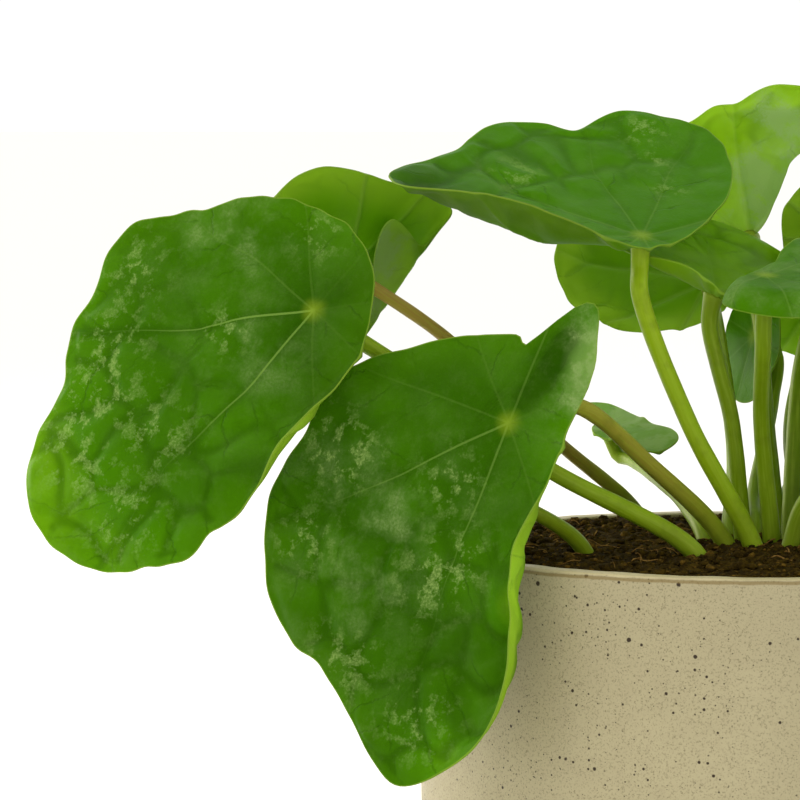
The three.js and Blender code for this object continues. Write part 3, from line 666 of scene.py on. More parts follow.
def stalk_skin():
    """Juicy leaf stalk: satin and slightly see-through, with fine streaks along it, browner where
    it has ripened and paler at its foot and under the blade."""
    material, tree = new_material("leaf_stalk_skin")
    form = add(tree, "Attribute", attribute_name="stalk_form").outputs["Vector"]
    ring = add(tree, "Attribute", attribute_name="stalk_ring").outputs["Vector"]
    run, tone, brown = add(tree, "SeparateXYZ", {0: form}).outputs
    place = add(tree, "TexCoord").outputs["Object"]
    streak = add(tree, "TexNoise", {"Vector": ring, "Scale": 1.0, "Detail": 4, "Roughness": 0.65})
    blotch = add(tree, "TexNoise", {"Vector": place, "Scale": 220, "Detail": 3, "Roughness": 0.6})
    green = add(tree, "Mix", {0: tone, 6: tint("3C5A04"), 7: tint("8FAE12")}, **COLOUR)
    ripened = add(tree, "MapRange", {0: run, 1: 0.05, 2: 0.45, 3: 0.25, 4: 1}, **FADE)
    ripened = add(tree, "Math", {0: ripened, 1: brown}, operation="MULTIPLY", use_clamp=True)
    pale_streak = add(tree, "MapRange", {0: streak, 1: 0.4, 2: 0.7, 3: 0, 4: 0.35}, **FADE)
    dark_blotch = add(tree, "MapRange", {0: blotch, 1: 0.45, 2: 0.8, 3: 0, 4: 0.4}, **FADE)
    foot = add(tree, "MapRange", {0: run, 1: 0.08, 2: 0.3, 3: 0.35, 4: 0}, **FADE)
    top = add(tree, "MapRange", {0: run, 1: 0.93, 2: 1, 3: 0, 4: 0.3}, **FADE)
    colour = tinted_layers(tree, green, (
        (ripened, "94743A"),
        (pale_streak, "96AC34"),
        (dark_blotch, "4A5A0A"),
        (foot, "7C8C28"),
        (top, "92A838"),
    ))
    height = added_heights(tree, ((streak, 1), (blotch, 0.5)))
    bump = add(tree, "Bump", {"Height": height, "Strength": 0.35, "Distance": 0.3 * MM})
    gloss = add(tree, "MapRange", {0: streak, 1: 0.3, 2: 0.8, 3: 0.34, 4: 0.48})
    skin = add(tree, "BsdfPrincipled", {
        "Base Color": colour, "Normal": bump, "Roughness": gloss, "IOR": 1.42,
        "Specular IOR Level": 0.35, "Specular Tint": tint("F0F0B0"),
        "Subsurface Weight": 0.2, "Subsurface Scale": 0.002, "Subsurface Radius": (0.6, 1.0, 0.2),
    })
    add(tree, "OutputMaterial", {"Surface": skin})
    return material


def pot_glaze():
    """Satin stoneware glaze over iron-flecked clay: a calm greyish beige with dark brown specks,
    and a brown line under the rim's lip where the glaze runs thin."""
    material, tree = new_material("speckled_stoneware_glaze")
    place = add(tree, "TexCoord").outputs["Object"]
    level = add(tree, "SeparateXYZ", {0: place}).outputs[2]
    cloud = add(tree, "TexNoise", {"Vector": place, "Scale": 26, "Detail": 4, "Roughness": 0.55})
    mottle = add(tree, "TexNoise", {"Vector": place, "Scale": 300, "Detail": 4, "Roughness": 0.65})
    grain = add(tree, "TexNoise", {"Vector": place, "Scale": 2600, "Detail": 3, "Roughness": 0.75})
    gather = add(tree, "TexNoise", {"Vector": place, "Scale": 70, "Detail": 2, "Roughness": 0.5})
    crowd = add(tree, "MapRange", {0: gather, 1: 0.38, 2: 0.62, 3: 0.3, 4: 1.7}, **FADE)
    warmer = add(tree, "MapRange", {0: cloud, 1: 0.35, 2: 0.65}, **FADE)
    dull = add(tree, "MapRange", {0: mottle, 1: 0.42, 2: 0.75, 3: 0, 4: 0.22}, **FADE)
    dusty = add(tree, "MapRange", {0: grain, 1: 0.5, 2: 0.68, 3: 0, 4: 0.65}, **FADE)
    layers = [(dull, "91876C"), (dusty, "5C5438")]
    heights = [(grain, 0.3)]
    # Three sizes of iron speck: a few large ones and many small ones. The smallest are drawn at
    # 0.36 mm and the grain at 0.4 mm, coarser than real ones, so that they show.
    for spacing, across, chance, strongest in SPECKS:
        cells = add(tree, "TexVoronoi", {"Vector": place, "Scale": 1 / (spacing * MM), "Randomness": 1})
        draw = add(tree, "SeparateColor", {0: cells.outputs["Color"]}).outputs
        likely = add(tree, "Math", {0: crowd, 1: chance}, operation="MULTIPLY")
        shown = add(tree, "Math", {0: draw[0], 1: likely}, operation="LESS_THAN")
        half = 0.5 * across / spacing
        own_half = add(
            tree, "Math", {0: draw[1], 1: 0.65 * half, 2: 0.35 * half}, operation="MULTIPLY_ADD",
        )
        distance = cells.outputs["Distance"]
        ragged = add(tree, "Math", {0: grain, 1: 0.9 * half, 2: distance}, operation="MULTIPLY_ADD")
        inside = add(tree, "Math", {0: ragged, 1: own_half}, operation="DIVIDE")
        disc = add(tree, "MapRange", {0: inside, 1: 1.25, 2: 1.7, 3: strongest, 4: 0}, **FADE)
        speck = add(tree, "Math", {0: disc, 1: shown}, operation="MULTIPLY")
        layers.append((speck, "281C08"))
        heights.append((speck, -0.5))
    # The thin line lies about half a millimetre under the lip, uneven by a few tenths.
    uneven = add(tree, "Math", {0: mottle, 1: 0.5 * MM, 2: level}, operation="MULTIPLY_ADD")
    above = add(tree, "MapRange", {0: uneven, 1: 0.1091, 2: 0.1094}, **FADE)
    below = add(tree, "MapRange", {0: uneven, 1: 0.1097, 2: 0.1100, 3: 0.65, 4: 0}, **FADE)
    band = add(tree, "Math", {0: above, 1: below}, operation="MULTIPLY")
    lip = add(tree, "MapRange", {0: uneven, 1: 0.1098, 2: 0.1101, 3: 0, 4: 0.6}, **FADE)
    layers += [(band, "6C5824"), (lip, "BFB388")]
    base = add(tree, "Mix", {0: warmer, 6: tint("9A9273"), 7: tint("A29A7A")}, **COLOUR)
    colour = tinted_layers(tree, base, layers)
    height = added_heights(tree, heights)
    bump = add(tree, "Bump", {"Height": height, "Strength": 0.4, "Distance": 0.15 * MM})
    gloss = add(tree, "MapRange", {0: mottle, 1: 0.3, 2: 0.8, 3: 0.42, 4: 0.56})
    glaze = add(tree, "BsdfPrincipled", {
        "Base Color": colour, "Roughness": gloss, "Normal": bump, "IOR": 1.5, "Specular IOR Level": 0.3,
    })
    add(tree, "OutputMaterial", {"Surface": glaze})
    return material


def damp_soil(name, dark, light, dry, clod_mm):
    """Moist peat and bark: dark, matt and crumbly, paler where it has dried. The dust is drawn
    at 0.3 mm, coarser than real dust, so that it shows."""
    material, tree = new_material(name)
    place = add(tree, "TexCoord").outputs["Object"]
    clod = add(tree, "TexNoise", {
        "Vector": place, "Scale": 1 / (clod_mm * MM), "Detail": 5, "Roughness": 0.65,
    })
    dust = add(tree, "TexNoise", {"Vector": place, "Scale": 3200, "Detail": 3, "Roughness": 0.7})
    lighter = add(tree, "MapRange", {0: clod, 1: 0.4, 2: 0.7}, **FADE)
    dried = add(tree, "MapRange", {0: dust, 1: 0.52, 2: 0.8, 3: 0, 4: 0.5}, **FADE)
    base = add(tree, "Mix", {0: lighter, 6: tint(dark), 7: tint(light)}, **COLOUR)
    colour = tinted_layers(tree, base, [(dried, dry)])
    height = added_heights(tree, ((clod, 1), (dust, 0.4)))
    bump = add(tree, "Bump", {"Height": height, "Strength": 0.8, "Distance": 0.5 * MM})
    rough = add(tree, "MapRange", {0: dust, 1: 0.3, 2: 0.8, 3: 0.75, 4: 0.98})
    earth = add(tree, "BsdfPrincipled", {
        "Base Color": colour, "Normal": bump, "Roughness": rough, "IOR": 1.4, "Specular IOR Level": 0.05,
    })
    add(tree, "OutputMaterial", {"Surface": earth})
    return material


# Leaves


def turn_between(a, b):
    return np.mod(a - b + 540, 360) - 180


def outline_radius(leaf, degrees):
    radii = np.asarray(leaf["radii"], float)
    count = len(radii)
    place = np.mod(degrees, 360) * (count / 360)
    i = np.floor(place).astype(int)
    t = place - i
    p0, p1, p2, p3 = (radii[(i + step) % count] for step in (-1, 0, 1, 2))
    bend = (3 * p1 - p0 - 3 * p2 + p3) * t**3
    curve = (2 * p0 - 5 * p1 + 4 * p2 - p3) * t**2
    radius = 0.5 * (2 * p1 + (p2 - p0) * t + curve + bend)
    for direction, depth, spread in leaf.get("notches", []):
        away = turn_between(degrees, direction) / spread
        radius = radius * (1 - depth * np.exp(-away * away))
    return radius


def blade_axes(leaf):
    up = unit(leaf["faces"])
    points = np.asarray(leaf["points"], float)
    tip = unit(points - points.dot(up) * up)
    return up, tip, np.cross(tip, up)


def blade_side(leaf, degrees, share, edge):
    """The blade's upper side, and each point's place on it along and across the tip."""
    up, tip, right = blade_axes(leaf)
    angle = np.radians(degrees)
    reach = share * edge
    flat = reach.copy()
    lift = np.zeros(np.shape(reach))
    for direction, spread, width, turn in leaf.get("rolls", []):
        away = np.abs(turn_between(degrees, direction)) / spread
        strip = width * np.cos(np.minimum(away, 1) * math.pi / 2)
        rolled = (strip > 0.1) & (reach > edge - strip)
        radius = width / math.radians(turn)
        swept = np.where(rolled, (reach - edge + strip) / radius, 0)
        reach = np.where(rolled, edge - strip + radius * np.sin(swept), reach)
        lift = lift + radius * (1 - np.cos(swept))
    a = leaf["middle"][0] + reach * np.cos(angle)
    b = leaf["middle"][1] + reach * np.sin(angle)
    for direction, distance, size, turn in leaf.get("folds", []):
        across = math.radians(direction)
        past = np.maximum(reach * np.cos(angle - across) - distance, 0)
        bend = math.radians(turn)
        radius = math.copysign(size, turn)
        curved = np.minimum(past, bend * radius)
        straight = past - curved
        swept = curved / radius
        moved = radius * np.sin(swept) + straight * math.cos(bend) - past
        a = a + moved * math.cos(across)
        b = b + moved * math.sin(across)
        lift = lift + radius * (1 - np.cos(swept)) + straight * math.sin(bend)
    height, count, phase = leaf["ripple"]
    lift = lift + leaf["cup"][0] * (a / CUP_REACH) ** 2 + leaf["cup"][1] * (b / CUP_REACH) ** 2
    lift = lift + height * share**3 * np.sin(count * angle + math.radians(phase))
    points = np.asarray(leaf["join"], float) + a[..., None] * tip
    points = points + b[..., None] * right + lift[..., None] * up
    unrolled_a = leaf["middle"][0] + flat * np.cos(angle)
    unrolled_b = leaf["middle"][1] + flat * np.sin(angle)
    return points, unrolled_a, unrolled_b


def vein_place(leaf, a, b, seed):
    """Bends the blade's plane so that the eight main veins lie on even, straight rays."""
    reach = np.hypot(a, b)
    sway = VEIN_SWAY * waves(a, b, seed, VEIN_SWAY_SPACING) * smooth(reach / VEIN_SWAY_START)
    degrees = np.degrees(np.arctan2(b, a)) + sway
    veins = np.asarray(leaf.get("veins", EVEN_VEIN_TURNS), float)
    real = np.concatenate([veins - 360, veins, veins + 360])
    even = np.arange(-VEINS, 2 * VEINS) * 360.0 / VEINS
    turned = np.radians(np.interp(degrees, real, even))
    return reach * np.cos(turned), reach * np.sin(turned), reach, turned


def crease_distance(a, b, seed, cell):
    """Distance from the nearest crease between the quilted fields, in millimetres."""
    draw = np.random.default_rng(seed)
    span = np.arange(-8, 12)
    centres = np.stack(np.meshgrid(span, span), -1).reshape(-1, 2).astype(float)
    centres = (centres + draw.uniform(-FIELD_JITTER, FIELD_JITTER, centres.shape)) * cell
    points = np.stack([a.ravel(), b.ravel()], -1)
    gaps = np.sqrt(((points[:, None, :] - centres[None]) ** 2).sum(-1))
    nearest = np.partition(gaps, 1, axis=1)[:, :2]
    return ((nearest[:, 1] - nearest[:, 0]) / 2).reshape(a.shape)


def normals_of(grid):
    """Unit normals of a grid of points that is closed round its second direction."""
    out = np.empty_like(grid)
    out[1:-1] = grid[2:] - grid[:-2]
    out[0] = grid[1] - grid[0]
    out[-1] = grid[-1] - grid[-2]
    round_ = np.roll(grid, -1, axis=1) - np.roll(grid, 1, axis=1)
    normals = np.cross(round_, out)
    return normals / np.linalg.norm(normals, axis=-1, keepdims=True)


def ridge(off, form):
    """A soft ridge of a given height and half width, at distance `off` from its crest."""
    height, width = form
    return height * np.exp(-((off / width) ** 2))


def with_spots(even, a, b, spots):
    """An even amount with soft round spots added, each with its place, reach and amount."""
    total = even + np.zeros(a.shape)
    for spot_a, spot_b, size, amount in spots:
        total = total + amount * np.exp(-(((a - spot_a) ** 2 + (b - spot_b) ** 2) / size**2))
    return total


def blade_piece(leaf, number, skins):
    seed = LEAF_SEED + number
    steps, rings = NEAR_BLADE_GRID if leaf["name"] in NEAR_BLADES else BLADE_GRID
    degrees = np.arange(steps) * 360 / steps
    inner = np.linspace(0, 1, rings)
    shares = 1 - (1 - inner) ** RING_CROWDING
    shares[0] = FIRST_RING
    grid_degrees = np.tile(degrees, (len(shares), 1))
    grid_share = np.tile(shares[:, None], (1, len(degrees)))
    edge = outline_radius(leaf, grid_degrees)
    grown = min(1, edge[0].mean() / FULL_GROWN)
    angle = np.radians(grid_degrees)
    wobble = waves(edge * np.cos(angle), edge * np.sin(angle), seed, MARGIN_WAVE_SPACING)
    edge = edge + MARGIN_WAVE * grown * wobble - MARGIN_INSET
    points, a, b = blade_side(leaf, grid_degrees, grid_share, edge)
    place_a, place_b, reach, turned = vein_place(leaf, a, b, seed)
    margin = (1 - grid_share) * edge

    half_turn = math.pi / VEINS
    from_ray = np.abs(np.mod(turned + half_turn, 2 * half_turn) - half_turn)
    off_vein = reach * np.sin(from_ray)
    bulge_a = a + FIELD_SWAY * waves(a, b, seed + 1, FIELD_SWAY_SPACING)
    bulge_b = b + FIELD_SWAY * waves(a, b, seed + 2, FIELD_SWAY_SPACING)
    crease = crease_distance(bulge_a, bulge_b, seed + 3, FIELD_SIZE)
    field = smooth((reach - FIELD_START) / FIELD_FADE) * smooth(margin / FIELD_MARGIN + 0.15)
    towards_tip = 1 - TIP_BULGE + TIP_BULGE * smooth(a / TIP_REACH)
    bulge = BULGE * smooth(crease / CREASE_WIDTH) * field * towards_tip
    groove = ridge(off_vein, GROOVE) * smooth((GROOVE_END - reach) / GROOVE_FADE) * smooth(reach / 4)
    slow = SLOW_WAVE * waves(a, b, seed + 4, SLOW_WAVE_SPACING)
    relief = (bulge - FIELD_SINK * field + slow * field - groove) * grown - ridge(reach, DIMPLE)
    rib = ridge(off_vein, RIB) * smooth((RIB_END - reach) / RIB_FADE) * smooth(reach / 2.5 + 0.4)
    thick = BLADE - MARGIN_THINNING * smooth(grid_share * 3 - 2)

    normals = normals_of(points)
    up = blade_axes(leaf)[0]
    if (normals[0] @ up).mean() < 0:
        normals = -normals
    upper = points + normals * relief[..., None]
    under = upper - normals * (thick + rib)[..., None]

    rows = [upper.reshape(-1, 3), under.reshape(-1, 3)]
    middle_upper = upper[0].mean(0)
    middle_under = under[0].mean(0)
    vertices = np.vstack(rows + [middle_upper[None], middle_under[None]])
    count = rings * steps
    faces = []
    slots = []
    for i in range(steps):
        after = (i + 1) % steps
        faces.append((2 * count, after, i))
        faces.append((2 * count + 1, count + i, count + after))
        slots += [0, 1]
        for ring in range(rings - 1):
            low, high = ring * steps, (ring + 1) * steps
            quad = (low + i, low + after, high + after, high + i)
            faces.append(quad)
            faces.append(tuple(count + quad[k] for k in (0, 3, 2, 1)))
            slots += [0, 1]
        last = count - steps
        faces.append((last + i, last + after, count + last + after, count + last + i))
        slots.append(0)

    worn = [(*spot, SCUFF_STRENGTH) for spot in leaf.get("scuffs", [])]
    scuff = np.clip(with_spots(0.05, a, b, worn), 0, 1)
    # Spots of tone and bloom: partly young growth and wax, partly painted light, shade and sheen.
    tone = with_spots(leaf["tone"], a, b, leaf.get("young_tone_and_painted_light", []))
    wax_bloom_and_sheen = with_spots(leaf.get("wax_bloom_and_sheen", 0.08), a, b, leaf.get("wax_bloom_and_sheen_spots", []))
    strengths = np.array(leaf.get("vein_shares", EVEN_VEINS) * 3)
    nearest = np.mod(turned, 2 * math.pi) / (2 * half_turn) + VEINS
    vein_share = np.interp(nearest, np.arange(3 * VEINS), strengths)
    quilt = field * towards_tip
    attributes = {
        "blade_place": (a, b, tone),
        "blade_veins": (place_a, place_b, vein_share),
        "blade_form": (margin, crease * field + 4 * (1 - field), scuff),
        "blade_look": (wax_bloom_and_sheen, quilt, leaf.get("fresh", 1) + 0 * quilt),
    }
    for label, parts in attributes.items():
        values = np.stack(parts, -1).reshape(-1, 3)
        attributes[label] = np.vstack([values, values, values[:1], values[:1]])
    piece = make_piece(f"blade_{leaf['name']}", vertices, faces, skins, slots, attributes)
    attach(piece, "root")
    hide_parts(f"leaf_{leaf['name']}")


# Stalks


def smooth_path(points, steps):
    """Evenly spaced points on a centripetal curve through `points`."""
    points = [np.asarray(p, float) for p in points]
    ends = [2 * points[0] - points[1], *points, 2 * points[-1] - points[-2]]
    dense = []
    for i in range(1, len(ends) - 2):
        p0, p1, p2, p3 = ends[i - 1 : i + 3]
        d0, d1, d2 = (max(np.linalg.norm(q - p) ** 0.5, 1e-4) for p, q in ((p0, p1), (p1, p2), (p2, p3)))
        t1 = ((p1 - p0) / d0 - (p2 - p0) / (d0 + d1) + (p2 - p1) / d1) * d1
        t2 = ((p2 - p1) / d1 - (p3 - p1) / (d1 + d2) + (p3 - p2) / d2) * d1
        t = np.linspace(0, 1, 60, endpoint=i == len(ends) - 3)[:, None]
        c2 = -3 * p1 + 3 * p2 - 2 * t1 - t2
        c3 = 2 * p1 - 2 * p2 + t1 + t2
        dense.append(p1 + t1 * t + c2 * t**2 + c3 * t**3)
    dense = np.vstack(dense)
    run = np.concatenate([[0], np.cumsum(np.linalg.norm(np.diff(dense, axis=0), axis=1))])
    even = np.linspace(0, run[-1], steps + 1)
    return np.stack([np.interp(even, run, dense[:, k]) for k in range(3)], -1), run[-1]


def stalk_points(leaf):
    up = blade_axes(leaf)[0]
    top = np.asarray(leaf["join"], float) - (BLADE + LEAF_GAP) * up
    middles = [np.asarray(p, float) for p in leaf["through"]]
    arriving = unit(top - middles[-1])
    neck = top - NECK * unit(up + arriving)
    x, y = leaf["root"]
    ground = np.array([x, y, soil_height(x, y)])
    lean = middles[0] - ground
    lean[2] = 0
    foot = ground - unit(lean) * STALK_DEPTH * FOOT_LEAN
    foot[2] -= STALK_DEPTH
    return [foot, ground, *middles, neck, top, top + up * (LEAF_GAP + 0.2)]


def stalk_piece(leaf, number, skin):
    path, length = smooth_path(stalk_points(leaf), STALK_STEPS)
    run = np.linspace(0, 1, STALK_STEPS + 1)
    to_top = (1 - run) * length
    radius = leaf["thick"] / 2 + STALK_FOOT_GROWTH * (1 - run) ** 3
    radius = radius + ridge(to_top, STALK_COLLAR) - STALK_WAIST * np.sin(run * math.pi)
    swell = waves(run * length, run * 0, STALK_SEED + number, STALK_SWELL_SPACING)
    radius = radius * (1 + STALK_SWELL * swell)
    across = np.array([1.0, 0, 0])
    vertices = []
    form = []
    ring_place = []
    tone, brown = STALK_LOOKS.get(leaf["name"], (0.45, 0.0))
    draw = np.random.default_rng(RIDGE_SEED + number)
    spin = draw.uniform(0, 2 * math.pi)
    for i in range(STALK_STEPS + 1):
        along = unit(path[min(STALK_STEPS, i + 1)] - path[max(0, i - 1)])
        across = unit(across - along * along.dot(across))
        other = np.cross(along, across)
        for k in range(STALK_SIDES):
            angle = k / STALK_SIDES * 2 * math.pi
            uneven = 1 + sum(rise * math.cos(count * angle + spin) for count, rise in STALK_RIDGES)
            out = across * math.cos(angle) + other * math.sin(angle)
            vertices.append(path[i] + out * radius[i] * uneven)
            form.append((run[i], tone, brown))
            ring_place.append((
                STREAK_ROUND * math.cos(angle) + number * STREAK_STEP,
                STREAK_ROUND * math.sin(angle),
                run[i] * length * STREAK_STRETCH,
            ))
    foot, top = len(vertices), len(vertices) + 1
    vertices += [path[0], path[-1]]
    form += [(0, tone, brown), (1, tone, brown)]
    ring_place += [(number * STREAK_STEP, 0, 0), (number * STREAK_STEP, 0, length * STREAK_STRETCH)]
    faces = []
    for k in range(STALK_SIDES):
        after = (k + 1) % STALK_SIDES
        faces.append((foot, after, k))
        faces.append((top, STALK_STEPS * STALK_SIDES + k, STALK_STEPS * STALK_SIDES + after))
        for i in range(STALK_STEPS):
            low, high = i * STALK_SIDES, (i + 1) * STALK_SIDES
            faces.append((low + k, low + after, high + after, high + k))
    attributes = {"stalk_form": form, "stalk_ring": ring_place}
    piece = make_piece(f"stem_{leaf['name']}", vertices, faces, [skin], None, attributes)
    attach(piece, "root")
    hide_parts(f"stalk_{leaf['name']}")


# Pot and soil


def turned_faces(rings, sectors):
    """Faces of rings that are stacked from the first to the last, closed by a centre at each end."""
    faces = []
    for i in range(sectors):
        after = (i + 1) % sectors
        faces.append((0, 1 + after, 1 + i))
        last = 1 + (rings - 1) * sectors
        faces.append((1 + rings * sectors, last + i, last + after))
        for ring in range(rings - 1):
            low, high = 1 + ring * sectors, 1 + (ring + 1) * sectors
            faces.append((low + i, low + after, high + after, high + i))
    return faces


def arc(cx, cz, radius, start, turn, steps):
    angles = np.radians(start + turn * np.arange(steps + 1) / steps)
    return [(cx + radius * math.cos(t), cz + radius * math.sin(t)) for t in angles]


def pot_piece(glaze):
    inside = POT_RADIUS - POT_WALL
    profile = [(POT_RADIUS * share, 0) for share in (0.1, 0.3, 0.5, 0.7, 0.9)]
    profile += arc(POT_RADIUS - POT_FOOT_ROUND, POT_FOOT_ROUND, POT_FOOT_ROUND, -90, 90, 6)
    profile += [(POT_RADIUS, z) for z in np.linspace(3, POT_HEIGHT - 3, POT_SIDE_ROWS)]
    profile += arc(POT_RADIUS - POT_RIM_ROUND, POT_HEIGHT - POT_RIM_ROUND, POT_RIM_ROUND, 0, 90, 8)
    profile += arc(inside + POT_RIM_ROUND, POT_HEIGHT - POT_RIM_ROUND, POT_RIM_ROUND, 90, 90, 8)
    inside_foot = POT_FLOOR + POT_CORNER_ROUND + 2
    profile += [(inside, z) for z in np.linspace(POT_HEIGHT - 6, inside_foot, POT_INSIDE_ROWS)]
    profile += arc(inside - POT_CORNER_ROUND, POT_FLOOR + POT_CORNER_ROUND, POT_CORNER_ROUND, 0, -90, 8)
    profile += [(inside * share, POT_FLOOR) for share in (0.6, 0.3)]
    angle = np.arange(POT_SECTORS) * 2 * math.pi / POT_SECTORS
    rows = [np.array([[0, 0, 0]])]
    for radius, height in profile:
        rise = smooth((height - POT_HEIGHT + POT_RIM_WAVE_FADE) / POT_RIM_WAVE_FADE)
        side = smooth(height / POT_SIDE_FOOT_FADE) * smooth((POT_HEIGHT - height) / POT_SIDE_RIM_FADE)
        outer = 1 if radius > inside + POT_WALL / 2 else 0
        sway = np.sin(POT_SIDE_WAVES * angle + height / POT_SIDE_WAVE_CLIMB)
        dents = waves(angle * POT_RADIUS, angle * 0 + height, 5, POT_DENT_SPACING)
        turned = radius + outer * side * POT_SIDE_WAVE * sway
        turned = turned + outer * side * POT_DENT * dents
        slow = np.sin(POT_RIM_WAVES * angle + POT_RIM_WAVE_TURN)
        quick = POT_RIM_QUICK_SHARE * np.sin(POT_RIM_QUICK_WAVES * angle)
        lifted = height + rise * POT_RIM_WAVE * (slow + quick)
        top = smooth((height - POT_HEIGHT + POT_RIM_DENT_FADE) / POT_RIM_DENT_FADE)
        dents = waves(angle * POT_RADIUS, angle * 0, 6, POT_RIM_DENT_SPACING)
        lifted = lifted + top * POT_DENT * dents
        rows.append(np.stack([turned * np.cos(angle), turned * np.sin(angle), lifted], -1))
    rows.append(np.array([[0, 0, POT_FLOOR]]))
    piece = make_piece("stoneware_pot", np.vstack(rows), turned_faces(len(profile), POT_SECTORS), [glaze])
    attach(piece, "root")
    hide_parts("pot")


def crumb_shape(draw, size):
    """A rough lump of about 20 faces: an icosahedron with its corners moved about."""
    gold = (1 + 5**0.5) / 2
    corners = np.array(
        [[-1, gold, 0], [1, gold, 0], [-1, -gold, 0], [1, -gold, 0], [0, -1, gold], [0, 1, gold],
         [0, -1, -gold], [0, 1, -gold], [gold, 0, -1], [gold, 0, 1], [-gold, 0, -1], [-gold, 0, 1]]
    ) / CRUMB_CORNER_REACH
    corners = corners * draw.uniform(0.65, 1.25, (12, 1)) * size
    turn = np.array(Euler(draw.uniform(0, CRUMB_TURN, 3)).to_matrix())
    return corners @ turn.T


CRUMB_FACES = [
    (0, 11, 5), (0, 5, 1), (0, 1, 7), (0, 7, 10), (0, 10, 11), (1, 5, 9), (5, 11, 4), (11, 10, 2),
    (10, 7, 6), (7, 1, 8), (3, 9, 4), (3, 4, 2), (3, 2, 6), (3, 6, 8), (3, 8, 9), (4, 9, 5),
    (2, 4, 11), (6, 2, 10), (8, 6, 7), (9, 8, 1),
]


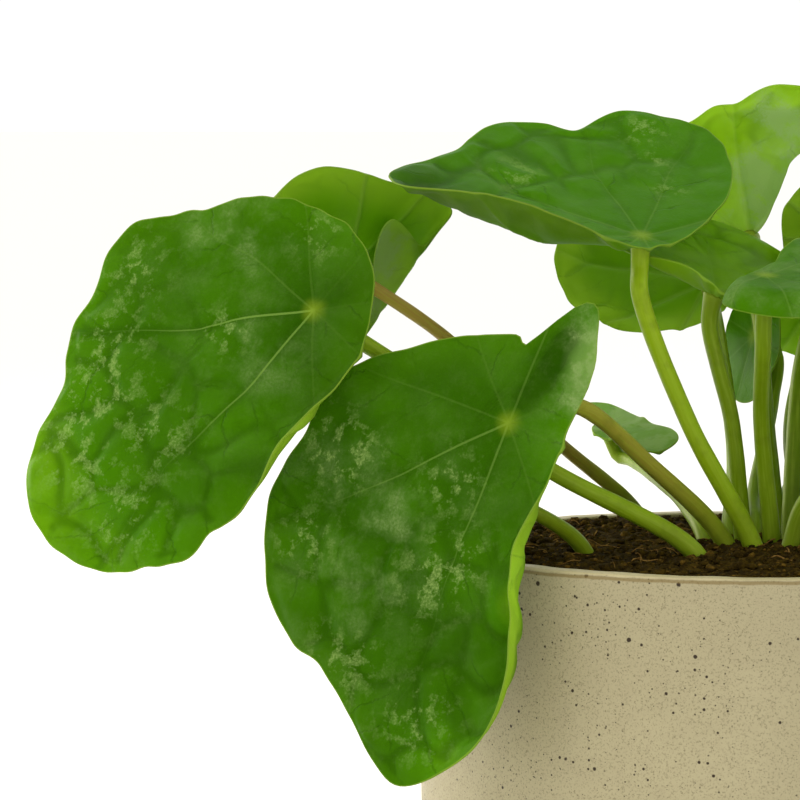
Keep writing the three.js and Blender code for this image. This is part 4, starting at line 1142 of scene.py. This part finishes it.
def soil_piece(peat, bark, fibre):
    radius = POT_RADIUS - POT_WALL - SOIL_GAP
    bottom = POT_FLOOR + SOIL_GAP
    angle = np.arange(SOIL_SECTORS) * 2 * math.pi / SOIL_SECTORS
    profile = [(radius * share, bottom) for share in (0.3, 0.6)]
    profile += arc(radius - POT_CORNER_ROUND, bottom + POT_CORNER_ROUND, POT_CORNER_ROUND, -90, 90, 6)
    profile += [(radius, z) for z in np.linspace(bottom + 12, SOIL_EDGE_Z - 2, 12)]
    rows = [np.array([[0, 0, bottom]])]
    for r, z in profile:
        rows.append(np.stack([r * np.cos(angle), r * np.sin(angle), z + 0 * angle], -1))
    shares = np.linspace(1, 0.02, SOIL_RINGS)
    for share in shares:
        x = radius * share * np.cos(angle)
        y = radius * share * np.sin(angle)
        lumps = sum(
            rise * waves(x, y, SOIL_SEED + i, spacing)
            for i, (rise, spacing) in enumerate(SOIL_SMALL_LUMPS)
        )
        z = soil_height(x, y) + lumps * smooth((1 - share) * SOIL_LUMP_FADE + 0.2) - 0.2
        rows.append(np.stack([x, y, z], -1))
    rows.append(np.array([[0, 0, float(soil_height(0, 0))]]))
    vertices = list(np.vstack(rows))
    faces = turned_faces(len(profile) + len(shares), SOIL_SECTORS)
    slots = [0] * len(faces)

    draw = np.random.default_rng(CRUMB_SEED)
    for _ in range(CRUMBS):
        size = draw.choice(CRUMB_SIZES, p=CRUMB_SIZE_SHARES)
        r = (radius - 0.4 - size * 1.1) * math.sqrt(draw.uniform())
        t = draw.uniform(0, 2 * math.pi)
        x, y = r * math.cos(t), r * math.sin(t)
        stretch = np.array([1, draw.uniform(0.55, 1), draw.uniform(0.45, 0.8)])
        lump = crumb_shape(draw, size) * stretch
        place = np.array([x, y, float(soil_height(x, y)) + draw.uniform(-0.1, 0.35) * size])
        start = len(vertices)
        vertices += list(lump + place)
        faces += [tuple(start + k for k in face) for face in CRUMB_FACES]
        slots += [int(draw.uniform() < BARK_SHARE)] * len(CRUMB_FACES)
    for _ in range(FIBRES):
        r = (radius - 7) * math.sqrt(draw.uniform())
        t = draw.uniform(0, 2 * math.pi)
        heading = draw.uniform(0, 2 * math.pi)
        curl = draw.uniform(-0.25, 0.25)
        thick = draw.uniform(0.07, 0.16)
        x, y = r * math.cos(t), r * math.sin(t)
        start = len(vertices)
        for i in range(FIBRE_POINTS):
            z = float(soil_height(x, y)) + FIBRE_HEIGHT + FIBRE_WAVE * math.sin(i * 0.9 + curl * 9)
            for k in range(4):
                side = k * math.pi / 2
                out = np.array([-math.sin(heading), math.cos(heading), 0]) * math.cos(side)
                out = out + np.array([0, 0, 1]) * math.sin(side)
                vertices.append(np.array([x, y, z]) + out * thick)
            x += FIBRE_STEP * math.cos(heading)
            y += FIBRE_STEP * math.sin(heading)
            heading += curl
        for i in range(FIBRE_POINTS - 1):
            for k in range(4):
                low, high = start + i * 4, start + (i + 1) * 4
                faces.append((low + k, low + (k + 1) % 4, high + (k + 1) % 4, high + k))
                slots.append(2)
        end = start + (FIBRE_POINTS - 1) * 4
        faces += [(start + 3, start + 2, start + 1, start), (end, end + 1, end + 2, end + 3)]
        slots += [2, 2]
    piece = make_piece("potting_soil", vertices, faces, [peat, bark, fibre], slots)
    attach(piece, "root")
    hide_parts("soil")


# Studio


def studio():
    """A plain white floor in a bright white room, with soft daylight from the upper left."""
    material, tree = new_material("matt_white_paint")
    paint = add(tree, "BsdfPrincipled", {"Base Color": tint("FEFDFB"), "Roughness": 0.9})
    add(tree, "OutputMaterial", {"Surface": paint})
    reach = FLOOR_REACH / MM
    corners = [(-reach, -reach), (reach, -reach), (reach, reach), (-reach, reach)]
    points = [(x, y, -FLOOR_GAP) for x, y in corners]
    make_piece("studio_floor", points, [(0, 1, 2, 3)], [material])

    world = bpy.data.worlds.new("room_light")
    world.use_nodes = True
    bpy.context.scene.world = world
    sky = world.node_tree.nodes["Background"]
    sky.inputs["Color"].default_value = tint(ROOM_COLOUR)
    sky.inputs["Strength"].default_value = ROOM_STRENGTH

    for name, place, aim, size, power, code in LAMPS:
        data = bpy.data.lights.new(name, "AREA")
        data.size = size
        data.energy = power
        data.color = tint(code)[:3]
        lamp = bpy.data.objects.new(name, data)
        lamp.location = place
        lamp.rotation_euler = (Vector(aim) - Vector(place)).to_track_quat("-Z", "Y").to_euler()
        bpy.context.collection.objects.link(lamp)
    bpy.context.scene.view_settings.view_transform = "Standard"


upper_skin = leaf_skin("waxy_leaf_upper_skin", True)
under_skin = leaf_skin("leaf_under_skin", False)
stem_skin = stalk_skin()
for index, entry in enumerate(LEAVES):
    blade_piece(entry, index, [upper_skin, under_skin])
    stalk_piece(entry, index, stem_skin)
pot_piece(pot_glaze())
soil_piece(
    damp_soil("damp_peat", "231A06", "44360C", "6A5422", 1.3),
    damp_soil("bark_crumb", "3A2C0C", "6A521C", "8A7034", 0.9),
    damp_soil("dry_root_fibre", "6A4E24", "94743C", "A88A50", 1.2),
)
studio()
